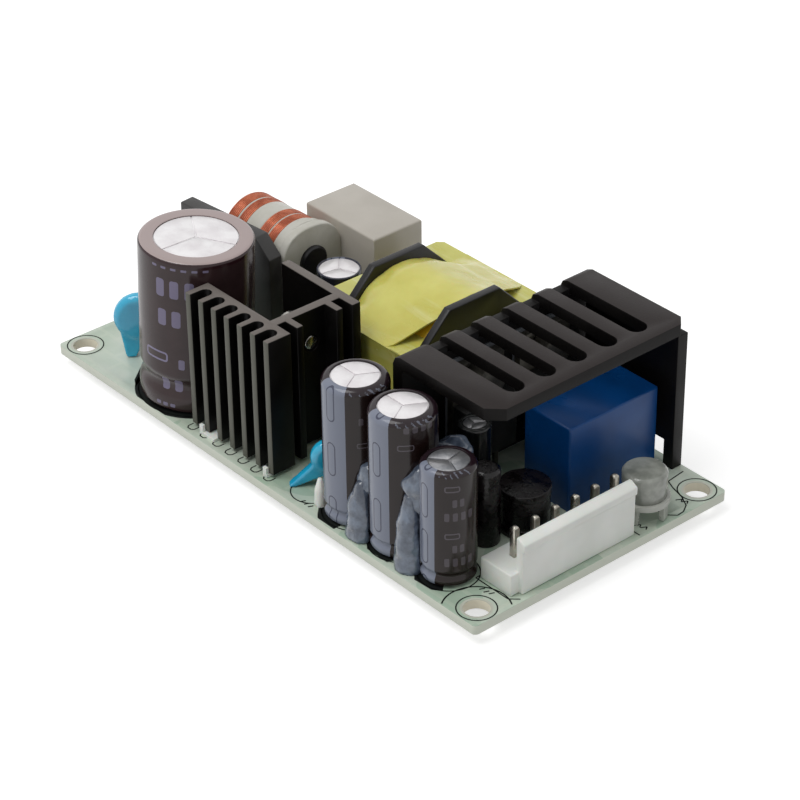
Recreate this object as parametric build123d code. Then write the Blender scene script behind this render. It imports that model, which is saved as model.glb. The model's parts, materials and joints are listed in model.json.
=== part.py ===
from build123d import *
import math
import os

os.makedirs("parts", exist_ok=True)

# Open frame power supply on a 4 inch by 2 inch board. Millimetres, +Z up.
# X runs along the board towards the output header, Y across it.
# The origin is the centre of the board, level with the tips of the trimmed leads.

# board
board_length = 101.6
board_width = 50.8
board_thickness = 1.6
lead_drop = 2.0
deck = lead_drop + board_thickness
hole_radius = 2.0
corner_radius = 0.8
hole_inset = 3.175
hole_spacing_x = board_length - 2 * hole_inset
hole_spacing_y = board_width - 2 * hole_inset
seat_gap = 0.05

# tall electrolytics: x, y, diameter, height
bulk_place = (-25.75, -15.95, 18.2, 27.2)
cap_a_place = (18.0, -19.2, 10.2, 23.9)
cap_b_place = (28.6, -19.3, 10.2, 23.8)
cap_c_place = (38.6, -19.5, 8.3, 19.6)
aux_place = (-19.0, 8.2, 7.2, 15.2)
control_place = (28.7, -5.65, 5.0, 15.0)
sleeve_wall = 0.2
bulk_lean = 2.4
bulk_lean_axis = (-0.762, 0.648, 0)

# primary heatsink, an extrusion stood on end
sink_height = 24.0
comb_x = -16.85
comb_length = 20.1
comb_back_y = -19.2
comb_plate = 2.2
fin_depth = 2.2
fin_count = 7
fin_width = 1.15
web_x = -1.7
web_thickness = 1.6
flange_y = -7.2
flange_thickness = 1.6
flange_x = -14.1
flange_length = 17.1
rib_length = 2.8
rib_thickness = 1.2
rib_ys = (-17.6, -10.0)
sink_foot = 0.6

# output heatsink, a slotted plate folded down on two sides
cover_x = 19.5
cover_front_x = 41.4
cover_y = -13.4
cover_back_y = 25.2
cover_top = 25.6
cover_sheet = 2.0
cover_bend = 1.6
cover_inner_bend = 0.4
slot_count = 5
slot_width = 3.3
slot_pitch = 6.12
slot_first_y = -6.2
slot_end_x = 39.0
slot_drop = 1.3

# power semiconductors
package_width = 10.2
package_depth = 4.5
package_height = 15.6
package_lift = 5.4
hole_lift = 18.1
screw_radius = 1.25
screw_head_radius = 2.9
screw_head_height = 3.0
transistor_y = -12.6
rectifier_ys = (0.2, 13.6)

# transformer, winding axis along X
trafo_y = 10.2
trafo_z = 11.4
trafo_left = -7.8
trafo_right = 11.2
trafo_flange = 1.4
trafo_flange_half = 10.2
trafo_flange_high = 10.5
trafo_chamfer = 5.1
winding_gap = 0.2
winding_radius = trafo_flange_half - winding_gap
core_x0 = -12.2
core_x1 = 15.8
core_leg = 3.3
core_half_width = trafo_flange_half + 0.1 + core_leg
core_depth = 11.4
core_low = 5.2
core_cut = 0.9
tape_wall = 0.35

# common mode choke, winding axis along X
choke_y = 8.7
choke_z = 13.1
choke_x0 = -40.0
choke_x1 = -25.4
choke_flange = 1.0
choke_half = 5.7
choke_chamfer = 2.5
choke_rim = 1.1
choke_far_radius = 5.3
choke_winding_radius = 5.6
choke_barrier = 2.4
choke_divider = 0.7
choke_core_radius = 2.4

# box shaped parts: x0, x1, y0, y1, height
film_box = (-35.3, -18.1, 14.8, 25.0, 18.1)
relay_box = (29.4, 39.2, 3.6, 21.8, 14.6)

# bridge rectifier, an upright slab on four leads: x, y, turn, length, thickness
bridge_place = (-36.75, 0.2, 5.5, 20.8, 2.7)
bridge_low = 1.6
bridge_top = 19.5
bridge_cut = 3.1
bridge_pitch = 5.0

# output and input headers
pin_pitch = 3.96
pin_side = 1.1
pin_tip = 8.7
header_base = 3.7
header_y0 = -17.0
header_y1 = 7.0
header_setback = 1.8
header_depth = 6.4
header_x1 = board_length / 2 - header_setback
header_x0 = header_x1 - header_depth
wall_inner_x = header_x1 - 0.7
wall_outer_x = header_x1 + 0.7
wall_y0 = -15.4
wall_top = 9.3
wall_lip = 0.35
lip_height = 1.9
pin_x = header_x0 + 2.8
pin_first_y = -13.0
output_pins = 6
input_setback = 1.6
input_x0 = input_setback - board_length / 2
input_y0 = 6.2
input_length = 13.4

# round parts: x, y, radius, z0, z1
fuse_place = (46.5, 12.0, 3.45, 3.5, 7.9)
drum_place = (37.3, -3.5, 3.95, 0.6, 7.6)
rod_place = (36.2, -10.2, 2.2, 0.6, 13.0)

# disc capacitors: x, y, z, radius, turn, thickness
disc_rear_place = (-39.0, -17.1, 7.3, 4.2, 52, 2.4)
disc_front_place = (comb_x + comb_length + 6.3, -17.6, 4.7, 2.95, 56, 2.4)

# silicone beads, placed from the capacitors they hold: x, y, radius, height
bead_places = (
    ((cap_a_place[0] + cap_b_place[0]) / 2, cap_a_place[1] - 3.4, 2.7, 9.5),
    ((cap_b_place[0] + cap_c_place[0]) / 2 + 0.3, cap_b_place[1] - 3.3, 2.5, 12.5),
    ((cap_b_place[0] + cap_c_place[0]) / 2, cap_b_place[1] + 3.7, 2.2, 15.0),
    (cap_a_place[0] - 4.9, cap_a_place[1] - 3.2, 1.0, 4.6),
)


def block(x0, x1, y0, y1, z0, z1):
    """A box given by its limits, with z counted from the top of the board."""
    middle = ((x0 + x1) / 2, (y0 + y1) / 2, deck + (z0 + z1) / 2)
    return Pos(*middle) * Box(x1 - x0, y1 - y0, z1 - z0)


def post(x, y, radius, z0, z1):
    """An upright cylinder, with z counted from the top of the board."""
    return Pos(x, y, deck + (z0 + z1) / 2) * Cylinder(radius, z1 - z0)


def bar(x0, x1, y, z, radius):
    """A cylinder along X, with z counted from the top of the board."""
    return Pos((x0 + x1) / 2, y, deck + z) * Rot(0, 90, 0) * Cylinder(radius, x1 - x0)


def turned(x, y, profile):
    """A solid of revolution about an upright axis from (radius, z) points."""
    face = make_face(Polyline(*[(r, 0, deck + z) for r, z in profile], close=True))
    return Pos(x, y, 0) * revolve(face, Axis.Z)


def plate_x(x0, x1, outline):
    """A plate square to X, cut to an outline of (y, z) points."""
    face = make_face(Polyline(*[(x0, y, deck + z) for y, z in outline], close=True))
    return extrude(face, x1 - x0, dir=(1, 0, 0))


def plate_y(y0, y1, outline):
    """A plate square to Y, cut to an outline of (x, z) points."""
    face = make_face(Polyline(*[(x, y0, deck + z) for x, z in outline], close=True))
    return extrude(face, y1 - y0, dir=(0, 1, 0))


def octagon(y, z, half_width, half_height, chamfer):
    """The (y, z) outline of a flange with its four corners cut off."""
    w = half_width
    h = half_height
    c = chamfer
    corners = [(-w, c - h), (c - w, -h), (w - c, -h), (w, c - h)]
    corners += [(w, h - c), (w - c, h), (c - w, h), (-w, h - c)]
    return [(y + a, z + b) for a, b in corners]


def save(name, shape):
    """Write one node. A list becomes one file that holds separate solids."""
    if isinstance(shape, list):
        shape = Compound(children=[s for s in shape])
    export_step(shape, "parts/" + name + ".step")


def board():
    """Glass fibre board with a mounting hole in each corner."""
    low = -board_thickness
    slab = block(-board_length / 2, board_length / 2, -board_width / 2, board_width / 2, low, 0)
    slab = fillet(slab.edges().filter_by(Axis.Z), corner_radius)
    for sx in (-1, 1):
        for sy in (-1, 1):
            x = sx * hole_spacing_x / 2
            y = sy * hole_spacing_y / 2
            slab -= post(x, y, hole_radius, low - 1, 1)
    return slab


def solder_spots():
    """Where the leads come through, as (x, y) pairs."""
    spots = [(pin_x, pin_first_y + pin_pitch * i) for i in range(output_pins)]
    spots += [(input_x0 + 3.6, input_y0 + 2.74 + 2 * pin_pitch * i) for i in range(2)]
    tall = (bulk_place, cap_a_place, cap_b_place, cap_c_place, aux_place, control_place)
    for x, y, d, h in tall:
        spots += [(x - 0.22 * d, y), (x + 0.22 * d, y)]
    for x, y, r, z0, z1 in (fuse_place, drum_place, rod_place):
        spots += [(x, y - 0.62 * r), (x, y + 0.62 * r)]
    spots += [(x, trafo_y + 5.0 * i) for x in (-9.6, 13.2) for i in range(-2, 3)]
    spots += [(x, choke_y + 4.4 * i) for x in (choke_x0 + 1.5, choke_x1 - 1.5) for i in (-1, 1)]
    x0, x1, y0, y1, h = film_box
    spots += [(x0 + 1.0, (y0 + y1) / 2), (x1 - 1.0, (y0 + y1) / 2)]
    x0, x1, y0, y1, h = relay_box
    spots += [(x, y) for x in (x0 + 1.6, x1 - 1.6) for y in (y0 + 2, (y0 + y1) / 2, y1 - 2)]
    spots += [bridge_lead(i) for i in range(4)]
    spots += [(web_x - package_depth + 2.0, transistor_y + 2.54 * i) for i in (-1, 0, 1)]
    for y in rectifier_ys:
        spots += [(cover_x + cover_sheet + 2.4, y + 2.54 * i) for i in (-1, 0, 1)]
    spots += [(cover_front_x - 1.0, cover_back_y - 1.2), (cover_x + 1.0, cover_y + 1.4)]
    return spots


def solder_joints():
    """Solder cones round the trimmed leads, all cut level."""
    joints = []
    for x, y in solder_spots():
        foot = Plane(origin=(x, y, lead_drop), z_dir=(0, 0, -1)) * RegularPolygon(1.05, 6)
        tip = Plane(origin=(x, y, 0), z_dir=(0, 0, -1)) * RegularPolygon(0.45, 6)
        joints.append(loft([foot, tip]))
    return joints


def capacitor(place, groove, rim, crown, foot=0.3, lean=0, vents=(60, 180, 300)):
    """An electrolytic: aluminium can with a three line vent, in a shrunk sleeve."""
    x, y, d, h = place
    r = d / 2
    ri = r - sleeve_wall
    lip = ri - rim
    dip = 0.045 * d
    top = h - sleeve_wall
    can = [(0, foot), (ri, foot), (ri, groove - 0.5), (ri - dip, groove), (ri, groove + 0.5)]
    can += [(ri, top - crown), (ri - crown, top), (0, top)]
    body = turned(x, y, can)
    for turn in vents:
        cut = Pos(0.42 * lip, 0, 0) * Box(0.84 * lip, 0.028 * d, 0.24)
        body -= Pos(x, y, deck + top) * Rot(0, 0, turn) * cut
    out = [(ri, foot), (r, foot), (r, groove - 0.5), (r - dip, groove), (r, groove + 0.5)]
    out += [(r, h - crown), (r - crown, h), (lip, h), (lip, top), (ri - crown, top)]
    out += [(ri, top - crown), (ri, groove + 0.5), (ri - dip, groove), (ri, groove - 0.5)]
    sleeve = turned(x, y, out)
    if lean:
        hinge = Axis((x, y, deck), bulk_lean_axis)
        return body.rotate(hinge, lean), sleeve.rotate(hinge, lean)
    return body, sleeve


def primary_heatsink():
    """Extruded comb, web and flange with two short ribs."""
    z0 = sink_foot
    z1 = sink_height
    front = comb_back_y - comb_plate - fin_depth
    comb = block(comb_x, comb_x + comb_length, front, comb_back_y, z0, z1)
    pitch = (comb_length - fin_width) / (fin_count - 1)
    slot = pitch - fin_width
    for i in range(fin_count - 1):
        x = comb_x + fin_width + pitch * i
        root = front + fin_depth
        comb -= block(x, x + slot, front - 1, root, z0 - 1, z1 + 1)
        comb -= post(x + slot / 2, root, slot / 2, z0 - 1, z1 + 1)
    far = flange_y + flange_thickness
    comb += block(web_x, web_x + web_thickness, comb_back_y - 0.2, flange_y + 0.2, z0, z1)
    comb += block(flange_x, flange_x + flange_length, flange_y, far, z0, z1)
    rib_x = web_x + web_thickness
    for y in rib_ys:
        comb += block(rib_x - 0.2, rib_x + rib_length, y, y + rib_thickness, z0, z1)
    hole = bar(web_x - 1, rib_x + 1, transistor_y, hole_lift, screw_radius + 0.1)
    return comb - hole


def sink_feet():
    """Two moulded feet that keep the comb clear of the board."""
    feet = []
    front = comb_back_y - comb_plate - fin_depth
    pitch = (comb_length - fin_width) / (fin_count - 1)
    for fin in (1, fin_count - 1):
        x = comb_x + pitch * fin
        base = block(x - 0.6, x + 3.0, front - 0.6, front + 3.4, 0, sink_foot - seat_gap)
        ear = block(x - 0.6, x + 0.2, front - 0.6, front - 0.05, 0, 1.7)
        feet.append(base + ear)
    return feet


def package(face_x, side, y):
    """Body and tab of a three lead package whose tab lies on a face square to X."""
    half = package_width / 2
    tab_back = face_x + side * 0.3
    tab_front = tab_back + side * 1.3
    top = hole_lift + 2.8
    low = package_lift
    tab = block(min(tab_back, tab_front), max(tab_back, tab_front), y - half, y + half, low + 1, top)
    tab -= bar(face_x - 4, face_x + 4, y, hole_lift, 1.8)
    lead_x = face_x + side * 2.6
    for i in (-1, 0, 1):
        lead_y = y + 2.54 * i
        tab += block(lead_x - 0.3, lead_x + 0.3, lead_y - 0.4, lead_y + 0.4, seat_gap, low + 1.2)
    x_out = face_x + side * package_depth
    body_top = low + 9.2
    body = block(min(tab_front, x_out), max(tab_front, x_out), y - half, y + half, low, body_top)
    body += block(min(tab_back, x_out), max(tab_back, x_out), y - half, y + half, low, low + 1)
    for i in (-1, 0, 1):
        lead_y = y + 2.54 * i
        body -= block(lead_x - 0.3, lead_x + 0.3, lead_y - 0.4, lead_y + 0.4, low - 1, low + 1.2)
    return tab, body


def pad(face_x, side, y):
    """Grey silicone pad between a package and its heatsink."""
    half = package_width / 2 + 0.1
    x_far = face_x + side * 0.3
    sheet = block(min(face_x, x_far), max(face_x, x_far), y - half, y + half, 4.6, 21.6)
    return sheet - bar(face_x - 2, face_x + 2, y, hole_lift, 1.8)


def screw(face_x, side, y, grip):
    """Pan head screw through the tab and the sheet behind it."""
    seat = face_x + side * 1.6
    head_far = seat + side * screw_head_height
    head = bar(min(seat, head_far), max(seat, head_far), y, hole_lift, screw_head_radius)
    end = face_x - side * grip
    return head + bar(min(end, seat), max(end, seat), y, hole_lift, screw_radius)


def output_heatsink():
    """Slotted plate with a folded wall at -X and a leg at +Y."""
    x0 = cover_x
    s = cover_sheet
    t = cover_top
    b = cover_bend
    outline = [(x0, 1.0), (x0, t - b), (x0 + 0.3 * b, t - 0.3 * b), (x0 + b, t)]
    outline += [(cover_front_x, t), (cover_front_x, t - s), (x0 + s + cover_inner_bend, t - s)]
    outline += [(x0 + s, t - s - cover_inner_bend), (x0 + s, 1.0)]
    sheet = plate_y(cover_y, cover_back_y, outline)
    corner = plate_corner(cover_front_x, cover_y, -1, 2.3)
    sheet -= corner
    sheet -= plate_corner(cover_front_x, cover_back_y, 1, 1.6)
    for i in range(slot_count):
        y = slot_first_y + slot_pitch * i
        half = slot_width / 2
        run = slot_end_x - half
        sheet -= block(x0 - 1, x0 + s + 0.1, y - half, y + half, t - slot_drop, t + 1)
        sheet -= block(x0 + s, run, y - half, y + half, t - s - 1, t + 1)
        sheet -= post(run, y, half, t - s - 1, t + 1)
    leg = block(x0 + s + 0.4, cover_front_x, cover_back_y - s, cover_back_y, 4.6, t - s)
    for x in (x0 + s + 0.4, cover_front_x - 2.0):
        leg += block(x, x + 2.0, cover_back_y - s, cover_back_y, seat_gap, 4.6)
    for y in rectifier_ys:
        sheet -= bar(x0 - 1, x0 + s + 1, y, hole_lift, screw_radius + 0.1)
    return sheet + leg


def plate_corner(x, y, side, cut):
    """The wedge taken off a front corner of the plate."""
    points = [(x + 1, y + side), (x + 1, y - side * cut), (x, y - side * cut)]
    points += [(x - cut, y), (x - cut, y + side)]
    z0 = deck + cover_top - cover_sheet
    face = make_face(Polyline(*[(a, b, z0) for a, b in points], close=True))
    return extrude(face, cover_sheet + 1, dir=(0, 0, 1))


def transformer_bobbin():
    """Moulded spool: two flanges, a tube and two pin rails."""
    outline = octagon(trafo_y, trafo_z, trafo_flange_half, trafo_flange_high, trafo_chamfer)
    spool = plate_x(trafo_left, trafo_left + trafo_flange, outline)
    spool += plate_x(trafo_right - trafo_flange, trafo_right, outline)
    spool += bar(trafo_left, trafo_right, trafo_y, trafo_z, 5.4)
    low = trafo_z - trafo_flange_high
    half = trafo_flange_half + 2.4
    rails = ((trafo_left - 4.2, trafo_left), (trafo_right, trafo_right + 4.2))
    for x0, x1 in rails:
        spool += block(x0, x1, trafo_y - half, trafo_y + half, low - 0.7, core_low - 0.5)
    return spool - bar(trafo_left - 1, trafo_right + 1, trafo_y, trafo_z, 4.7)


def transformer_winding():
    """Wound coil under yellow tape, rounded off at its ends."""
    x0 = trafo_left + trafo_flange
    x1 = trafo_right - trafo_flange
    r = winding_radius
    profile = [(x0, 5.4), (x0, r - 0.9), (x0 + 2.6, r - 0.1), ((x0 + x1) / 2, r)]
    profile += [(x1 - 2.6, r - 0.1), (x1, r - 0.9), (x1, 5.4)]
    face = make_face(Polyline(*[(x, trafo_y, deck + trafo_z + a) for x, a in profile], close=True))
    axis = Axis((0, trafo_y, deck + trafo_z), (1, 0, 0))
    return revolve(face, axis)


def frame_block(grow, z0, z1):
    """The outline of the ferrite frame, its upright edges chamfered."""
    half = core_half_width + grow
    outer = block(core_x0 - grow, core_x1 + grow, trafo_y - half, trafo_y + half, z0, z1)
    return chamfer(outer.edges().filter_by(Axis.Z), core_cut)


def frame_window(z0, z1):
    """The opening of the ferrite frame that takes the spool."""
    half = trafo_flange_half + 0.1
    return block(trafo_left - 0.1, trafo_right + 0.1, trafo_y - half, trafo_y + half, z0, z1)


def transformer_core():
    """Ferrite frame round the spool with a round centre leg."""
    z0 = core_low
    z1 = core_low + core_depth
    frame = frame_block(0, z0, z1) - frame_window(z0 - 1, z1 + 1)
    return frame + bar(trafo_left - 0.6, trafo_right + 0.6, trafo_y, trafo_z, 4.6)


def coil_tent():
    """Tape stretched from the frame's outer edges up and over the crown of the coil."""
    x0 = trafo_left + trafo_flange + seat_gap
    reach = core_half_width + tape_wall
    z1 = core_low + core_depth
    drop = trafo_z - z1
    gap = math.hypot(reach, drop)
    radius = winding_radius + 0.02
    slope = math.asin(radius / gap) + math.atan2(drop, reach)
    run = math.sqrt(gap * gap - radius * radius)
    rings = []
    for lift in (0, tape_wall):
        foot = (lift * -math.sin(slope) - reach, z1 + lift * math.cos(slope))
        crest = (foot[0] + run * math.cos(slope), foot[1] + run * math.sin(slope))
        top = (0, trafo_z + radius + lift)
        side = [foot, crest, top, (-crest[0], crest[1]), (-foot[0], foot[1])]
        rings.append([(x0, trafo_y + a, deck + b) for a, b in side])
    low, high = rings
    path = Line(low[0], low[1]) + ThreePointArc(low[1], low[2], low[3]) + Line(low[3], low[4])
    path += Line(low[4], high[4]) + Line(high[4], high[3])
    path += ThreePointArc(high[3], high[2], high[1]) + Line(high[1], high[0]) + Line(high[0], low[0])
    sheet = extrude(make_face(path), trafo_right - trafo_flange - seat_gap - x0, dir=(1, 0, 0))
    return sheet - tent_corner(z1 + tape_wall)


def tent_corner(z):
    """The corner that the stretched tape leaves open beside the near flange."""
    x1 = trafo_right - trafo_flange
    y0 = trafo_y - core_half_width - 1
    spots = [(x1 + 0.1, trafo_y - 6.8), (x1 - 2.5, y0), (x1 + 0.1, y0)]
    face = make_face(Polyline(*[(a, b, deck + z) for a, b in spots], close=True))
    return extrude(face, 8, dir=(0, 0, 1))


def transformer_tape():
    """Yellow tape wrapped round the outside and over the top of the core."""
    z1 = core_low + core_depth
    band = frame_block(tape_wall, core_low, z1 + tape_wall)
    band -= frame_block(0.02, core_low - 1, z1 + 0.02)
    return band - frame_window(core_low - 1, z1 + 1) + coil_tent()


def choke_spans():
    """The X ranges of the four coils, two on each side of the barrier."""
    x0 = choke_x0 + choke_flange
    room = choke_x1 - choke_x0 - 2 * choke_flange - choke_rim - choke_barrier - 2 * choke_divider
    coil = room / 4
    steps = (coil, choke_divider, coil, choke_barrier, coil, choke_divider, coil)
    spans = []
    for i, step in enumerate(steps):
        if i % 2 == 0:
            spans.append((x0, x0 + step))
        x0 += step
    return spans


def choke_bobbin():
    """White spool with end flanges, dividers, a middle barrier and two feet."""
    outline = octagon(choke_y, choke_z, choke_half, choke_half, choke_chamfer)
    spool = bar(choke_x0, choke_x0 + choke_flange, choke_y, choke_z, choke_far_radius)
    spool += plate_x(choke_x1 - choke_flange, choke_x1, outline)
    rim_x = choke_x1 - choke_flange - choke_rim
    spool += bar(rim_x, choke_x1 - choke_flange - 0.25, choke_y, choke_z, choke_half + 0.15)
    spool += bar(rim_x, choke_x1, choke_y, choke_z, choke_half - 0.5)
    spans = choke_spans()
    for i in range(3):
        wall = bar(spans[i][1], spans[i + 1][0], choke_y, choke_z, choke_half - 0.3)
        spool += wall
    spool += bar(choke_x0, choke_x1, choke_y, choke_z, choke_core_radius + 0.9)
    top = choke_z - choke_winding_radius - 0.2
    spool += block(choke_x0, choke_x0 + choke_flange, choke_y - 5.4, choke_y + 5.4, top - 1, top + 1)
    spool += block(choke_x0, choke_x0 + 3, choke_y - 5.4, choke_y + 5.4, seat_gap, top)
    spool += block(choke_x1 - 3, choke_x1, choke_y - 5.4, choke_y + 5.4, seat_gap, top)
    return spool - bar(choke_x0 - 1, choke_x1 + 1, choke_y, choke_z, choke_core_radius + 0.05)


def choke_windings():
    """Four copper coils between the dividers."""
    coils = []
    for x0, x1 in choke_spans():
        coil = bar(x0, x1, choke_y, choke_z, choke_winding_radius)
        coils.append(coil - bar(x0 - 1, x1 + 1, choke_y, choke_z, choke_core_radius + 0.9))
    return coils


def choke_core():
    """Ferrite rod through the spool, its ends rounded off."""
    profile = [(choke_x0 - 1.2, 0), (choke_x0 - 1.2, choke_core_radius - 0.8)]
    profile += [(choke_x0 - 0.4, choke_core_radius), (choke_x1 + 0.7, choke_core_radius)]
    profile += [(choke_x1 + 1.5, choke_core_radius - 0.7), (choke_x1 + 2.0, 0)]
    z = deck + choke_z
    face = make_face(Polyline(*[(x, choke_y, z + a) for x, a in profile], close=True))
    return revolve(face, Axis((0, choke_y, z), (1, 0, 0)))


def bridge_lead(i):
    """Where lead number i of the bridge rectifier meets the board."""
    x, y, turn, length, thick = bridge_place
    spot = Rot(0, 0, turn) * Pos((i - 1.5) * bridge_pitch, 0, 0)
    return x + spot.position.X, y + spot.position.Y


def bridge_rectifier():
    """Flat moulded bridge with one cut corner, upright on its four leads."""
    x, y, turn, length, thick = bridge_place
    half = length / 2
    c = bridge_cut
    outline = [(-half, bridge_low), (-half, bridge_top), (half - c, bridge_top)]
    outline += [(half, bridge_top - c), (half, bridge_low)]
    face = make_face(Polyline(*[(a, -thick / 2, b) for a, b in outline], close=True))
    body = extrude(face, thick, dir=(0, 1, 0))
    for i in range(4):
        a = (i - 1.5) * bridge_pitch
        lead = Pos(a, 0, (bridge_low + seat_gap) / 2) * Box(1.0, 0.7, bridge_low - seat_gap + 0.4)
        body += Pos(0, 0, 0.2) * lead
    return Pos(x, y, deck) * Rot(0, 0, turn) * body


def disc(x, y, z, radius, turn, thick, shank):
    """A coated disc capacitor standing on edge, its shank given by (u, z) points."""
    coin = Pos(0, 0, z) * Rot(90, 0, 0) * Cylinder(radius, thick)
    coin = chamfer(coin.edges(), thick * 0.28)
    width = thick * 0.7
    face = make_face(Polyline(*[(u, -width / 2, w) for u, w in shank], close=True))
    return Pos(x, y, deck) * Rot(0, 0, turn) * (coin + extrude(face, width, dir=(0, 1, 0)))


def film_capacitor():
    """Potted box capacitor."""
    x0, x1, y0, y1, h = film_box
    shell = block(x0, x1, y0, y1, seat_gap, h)
    return chamfer(shell.faces().sort_by(Axis.Z)[-1].edges(), 0.2)


def relay():
    """Sealed relay in a blue case."""
    x0, x1, y0, y1, h = relay_box
    case = block(x0, x1, y0, y1, seat_gap, h)
    case = chamfer(case.edges().filter_by(Axis.Z), 0.25)
    return chamfer(case.faces().sort_by(Axis.Z)[-1].edges(), 0.25)


def output_header():
    """Moulded header: base with a friction wall along its outer side."""
    base = block(header_x0, header_x1, header_y0, header_y1, seat_gap, header_base)
    outline = [(wall_inner_x, seat_gap), (wall_inner_x, wall_top), (wall_inner_x + 0.5, wall_top)]
    outline += [(wall_outer_x + wall_lip, wall_top - 0.7)]
    outline += [(wall_outer_x + wall_lip, wall_top - lip_height)]
    outline += [(wall_outer_x, wall_top - lip_height - 0.3), (wall_outer_x, seat_gap)]
    wall = plate_y(wall_y0, header_y1, outline)
    base += wall
    for i in range(output_pins):
        base -= pin_bore(pin_x, pin_first_y + pin_pitch * i)
    return base


def pin_bore(x, y):
    """The square hole a pin is pressed into."""
    half = pin_side / 2
    return block(x - half, x + half, y - half, y + half, -1, header_base + 1)


def pin(x, y):
    """A square pin with a chamfered tip."""
    half = pin_side / 2
    rod = block(x - half, x + half, y - half, y + half, seat_gap, pin_tip)
    return chamfer(rod.faces().sort_by(Axis.Z)[-1].edges(), 0.32)


def output_pin_row():
    """Six pins of the output header."""
    return [pin(pin_x, pin_first_y + pin_pitch * i) for i in range(output_pins)]


def input_header():
    """Moulded header at the mains end, its middle position left empty."""
    y1 = input_y0 + input_length
    base = block(input_x0, input_x0 + 6.4, input_y0, y1, seat_gap, header_base)
    base += block(input_x0, input_x0 + 1.2, input_y0, y1, seat_gap, wall_top)
    for i in range(2):
        base -= pin_bore(input_x0 + 3.6, input_y0 + 2.74 + 2 * pin_pitch * i)
    return base


def input_pin_row():
    """Two pins of the input header."""
    return [pin(input_x0 + 3.6, input_y0 + 2.74 + 2 * pin_pitch * i) for i in range(2)]


def output_fuse():
    """Radial fuse: cap, base ring and legs."""
    x, y, r, z0, z1 = fuse_place
    cap = turned(x, y, [(0, z0), (r, z0), (r, z1 - 0.4), (r - 0.4, z1), (0, z1)])
    ring = turned(x, y, [(0, z0 - 0.9), (r + 0.5, z0 - 0.9), (r + 0.5, z0), (0, z0)])
    for turn in (20, 110, 200, 290):
        leg = Pos(r - 0.2, 0, deck + (z0 - 0.9 + seat_gap) / 2) * Box(0.8, 1.4, z0 - 0.9 - seat_gap)
        ring += Pos(x, y, 0) * Rot(0, 0, turn) * leg
    return cap, ring


def drum_inductor():
    """Ferrite drum and the coil between its flanges."""
    x, y, r, z0, z1 = drum_place
    profile = [(0, seat_gap), (r, seat_gap), (r, 1.6), (r - 1.2, 1.6), (r - 1.2, z1 - 1.2)]
    profile += [(r, z1 - 1.2), (r, z1), (0, z1)]
    core = turned(x, y, profile)
    coil = turned(x, y, [(r - 1.2, 1.6), (r - 0.1, 1.6), (r - 0.1, z1 - 1.2), (r - 1.2, z1 - 1.2)])
    return core, coil


def rod_inductor():
    """Upright rod choke in black shrink sleeve."""
    x, y, r, z0, z1 = rod_place
    return turned(x, y, [(0, seat_gap), (r, seat_gap), (r, z1 - 0.5), (r - 0.5, z1), (0, z1)])


def silicone_beads():
    """Soft beads that tie the output capacitors to the board."""
    beads = []
    for x, y, r, h in bead_places:
        bead = turned(x, y, [(0, 0), (r, 0), (r * 0.85, h * 0.6), (r * 0.3, h), (0, h)])
        for cx, cy, d, top in (cap_a_place, cap_b_place, cap_c_place):
            bead -= post(cx, cy, d / 2 + 0.02, -1, 30)
        beads += [max(bead.solids(), key=lambda s: s.volume)]
    return beads


def build():
    """Make every node and write it."""
    save("board", board())
    save("solder_joints", solder_joints())
    can, sleeve = capacitor(bulk_place, 5.4, 1.9, 0.7, 0.45, bulk_lean, (30, 150, 270))
    save("bulk_capacitor_can", can)
    save("bulk_capacitor_sleeve", sleeve)
    sets = (("output_capacitor_a", cap_a_place, 2.2, 0.75, 0.5),)
    sets += (("output_capacitor_b", cap_b_place, 2.2, 0.75, 0.5),)
    sets += (("output_capacitor_c", cap_c_place, 2.0, 0.6, 0.4),)
    sets += (("aux_capacitor", aux_place, 1.8, 0.5, 0.4), ("control_capacitor", control_place, 1.5, 0.4, 0.3))
    for name, place, groove, rim, crown in sets:
        can, sleeve = capacitor(place, groove, rim, crown)
        save(name + "_can", can)
        save(name + "_sleeve", sleeve)
    save("primary_heatsink", primary_heatsink())
    save("heatsink_feet", sink_feet())
    tab, body = package(web_x, -1, transistor_y)
    save("transistor_tab", tab)
    save("transistor_body", body)
    save("transistor_pad", pad(web_x, -1, transistor_y))
    save("transistor_screw", screw(web_x, -1, transistor_y, web_thickness - 0.2))
    save("output_heatsink", output_heatsink())
    face = cover_x + cover_sheet
    pairs = [package(face, 1, y) for y in rectifier_ys]
    save("rectifier_tabs", [p[0] for p in pairs])
    save("rectifier_bodies", [p[1] for p in pairs])
    save("rectifier_pads", [pad(face, 1, y) for y in rectifier_ys])
    save("rectifier_screws", [screw(face, 1, y, cover_sheet - 0.2) for y in rectifier_ys])
    save("transformer_bobbin", transformer_bobbin())
    save("transformer_winding", transformer_winding())
    save("transformer_core", transformer_core())
    save("transformer_tape", transformer_tape())
    save("choke_bobbin", choke_bobbin())
    save("choke_windings", choke_windings())
    save("choke_core", choke_core())
    save("film_capacitor", film_capacitor())
    save("relay", relay())
    save("bridge_rectifier", bridge_rectifier())
    rear_shank = ((-2.5, seat_gap), (-0.9, seat_gap), (0.8, 3.6), (-3.2, 4.6))
    save("disc_capacitor_rear", disc(*disc_rear_place, rear_shank))
    front_shank = ((-6.4, seat_gap), (-5.2, seat_gap), (0.4, 2.1), (-2.1, 4.2))
    save("disc_capacitor_front", disc(*disc_front_place, front_shank))
    save("output_header", output_header())
    save("output_pins", output_pin_row())
    save("input_header", input_header())
    save("input_pins", input_pin_row())
    cap, ring = output_fuse()
    save("output_fuse_cap", cap)
    save("output_fuse_base", ring)
    core, coil = drum_inductor()
    save("drum_core", core)
    save("drum_winding", coil)
    save("rod_inductor", rod_inductor())
    save("silicone_beads", silicone_beads())


build()
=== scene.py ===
import json
import math
from functools import partial

import bpy
from mathutils import Matrix, Vector

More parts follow.
